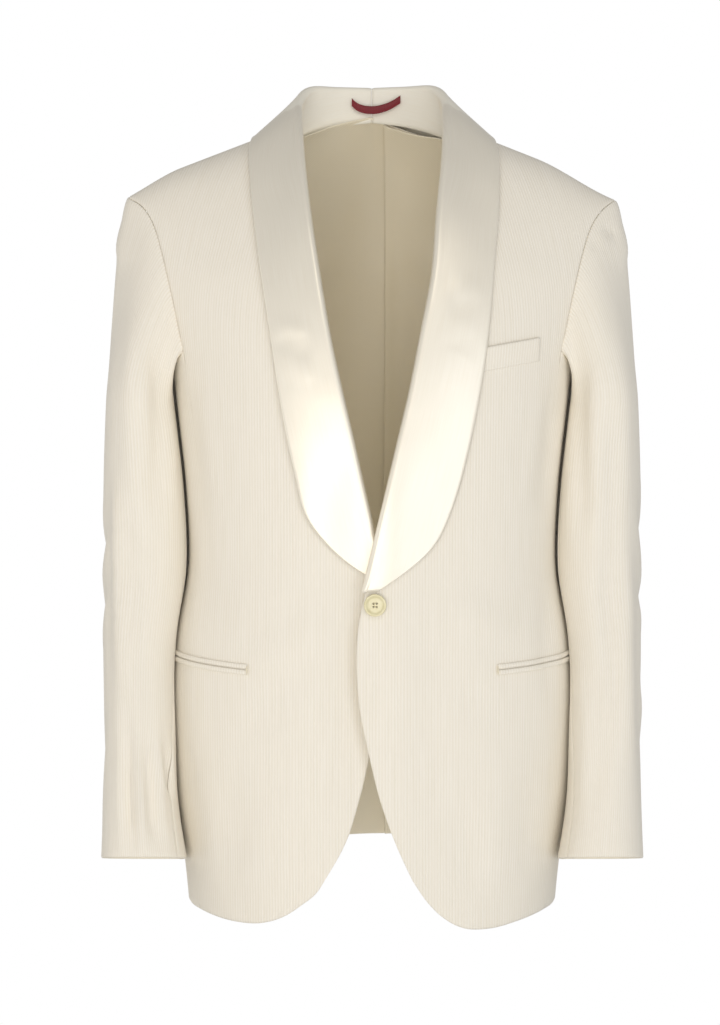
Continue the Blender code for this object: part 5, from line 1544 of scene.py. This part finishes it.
# ---- studio --------------------------------------------------------------------------------
@dataclass
class Studio:
    """Pale floor, white surroundings, four soft lights, and the camera."""

    floor_height: float = -1.45
    floor_radius: float = 1.85
    eye: Place = (-0.01176, -2.40, -0.22)
    pitch_down: float = 3.4388
    lens: float = 86.12
    low_light: float = 0.60
    high_light: float = 0.36
    aim: Place = (0.0, 0.0, -0.36)
    lights: tuple = (("key_light", (-0.35, -2.2, -0.62), (1.3, 0.9), 12.2, "fff9f0"),
                     ("fill_light", (1.4, -2.2, -0.40), (1.0, 1.2), 8.6, "f5f9ff"),
                     ("side_light", (-1.9, -0.5, -0.30), (0.7, 1.3), 3.2, "fff9f0"),
                     ("neck_light", (0.30, -1.7, 1.00), (0.5, 0.4), 3.4, "fff6e6"))

    def floor(self) -> None:
        """A round pale floor under the hanging jacket."""
        deselect()
        bpy.ops.mesh.primitive_circle_add(vertices=96, radius=self.floor_radius, fill_type="NGON",
                                          location=(0.0, 0.0, self.floor_height))
        floor = bpy.context.object
        floor.name = floor.data.name = "studio_floor"
        settle(floor)
        paper = Finish("paper_matt_white", "", "f4f4f2", 0.9, specular=0.2)
        floor.data.materials.append(paper.make())

    def world(self) -> None:
        """White to the camera, and softer light from above than from below."""
        world = bpy.data.worlds.new("studio")
        world.use_nodes = True
        tree = world.node_tree
        tree.nodes.clear()
        way = add_node(tree, "ShaderNodeTexCoord").outputs["Generated"]
        split = add_node(tree, "ShaderNodeSeparateXYZ", None, {0: way})
        level = add_node(tree, "ShaderNodeMapRange",
                         {"From Min": 0.0, "From Max": 0.75, "To Min": self.low_light, "To Max": self.high_light},
                         {"Value": split.outputs["Z"]})
        seen = add_node(tree, "ShaderNodeLightPath").outputs["Is Camera Ray"]
        soft = add_node(tree, "ShaderNodeBackground", {"Color": linear("fffefc")}, {"Strength": level.outputs[0]})
        white = add_node(tree, "ShaderNodeBackground", {"Color": (1.0, 1.0, 1.0, 1.0), "Strength": 1.0})
        mix = add_node(tree, "ShaderNodeMixShader", None, {0: seen, 1: soft.outputs[0], 2: white.outputs[0]})
        add_node(tree, "ShaderNodeOutputWorld", None, {0: mix.outputs[0]})
        bpy.context.scene.world = world

    def light(self, name: str, place: Place, size: Place, power: float, colour: str) -> None:
        """A soft panel of light aimed at the jacket's chest."""
        data = bpy.data.lights.new(name, "AREA")
        data.shape, data.size, data.size_y, data.energy = "RECTANGLE", size[0], size[1], power
        data.color = linear(colour)[:3]
        lamp = bpy.data.objects.new(name, data)
        lamp.location = place
        lamp.rotation_euler = (Vector(self.aim) - Vector(place)).to_track_quat("-Z", "Y").to_euler()
        bpy.context.collection.objects.link(lamp)

    def build(self) -> None:
        """Set up the floor, world, lights and camera."""
        self.floor()
        self.world()
        for row in self.lights:
            self.light(*row)
        data = bpy.data.cameras.new("camera")
        data.lens, data.sensor_width, data.clip_end = self.lens, 36.0, 50.0
        camera = bpy.data.objects.new("camera", data)
        camera.location = self.eye
        camera.rotation_euler = (math.radians(90.0 - self.pitch_down), 0.0, 0.0)
        bpy.context.collection.objects.link(camera)
        bpy.context.scene.camera = camera
        bpy.context.scene.view_settings.view_transform = "Standard"


def main() -> None:
    """Build the jacket and the studio."""
    logging.basicConfig(level=logging.INFO, format="%(name)s: %(message)s")
    form, wardrobe = Form(), Wardrobe()
    body = Body(form, wardrobe)
    body.build()
    Sleeves(body).build()
    Shawl(form, wardrobe).build()
    Pockets(body).build()
    Button(body).build()
    HangerLoop(wardrobe).build()
    Studio().build()


if __name__ == "__main__":
    main()
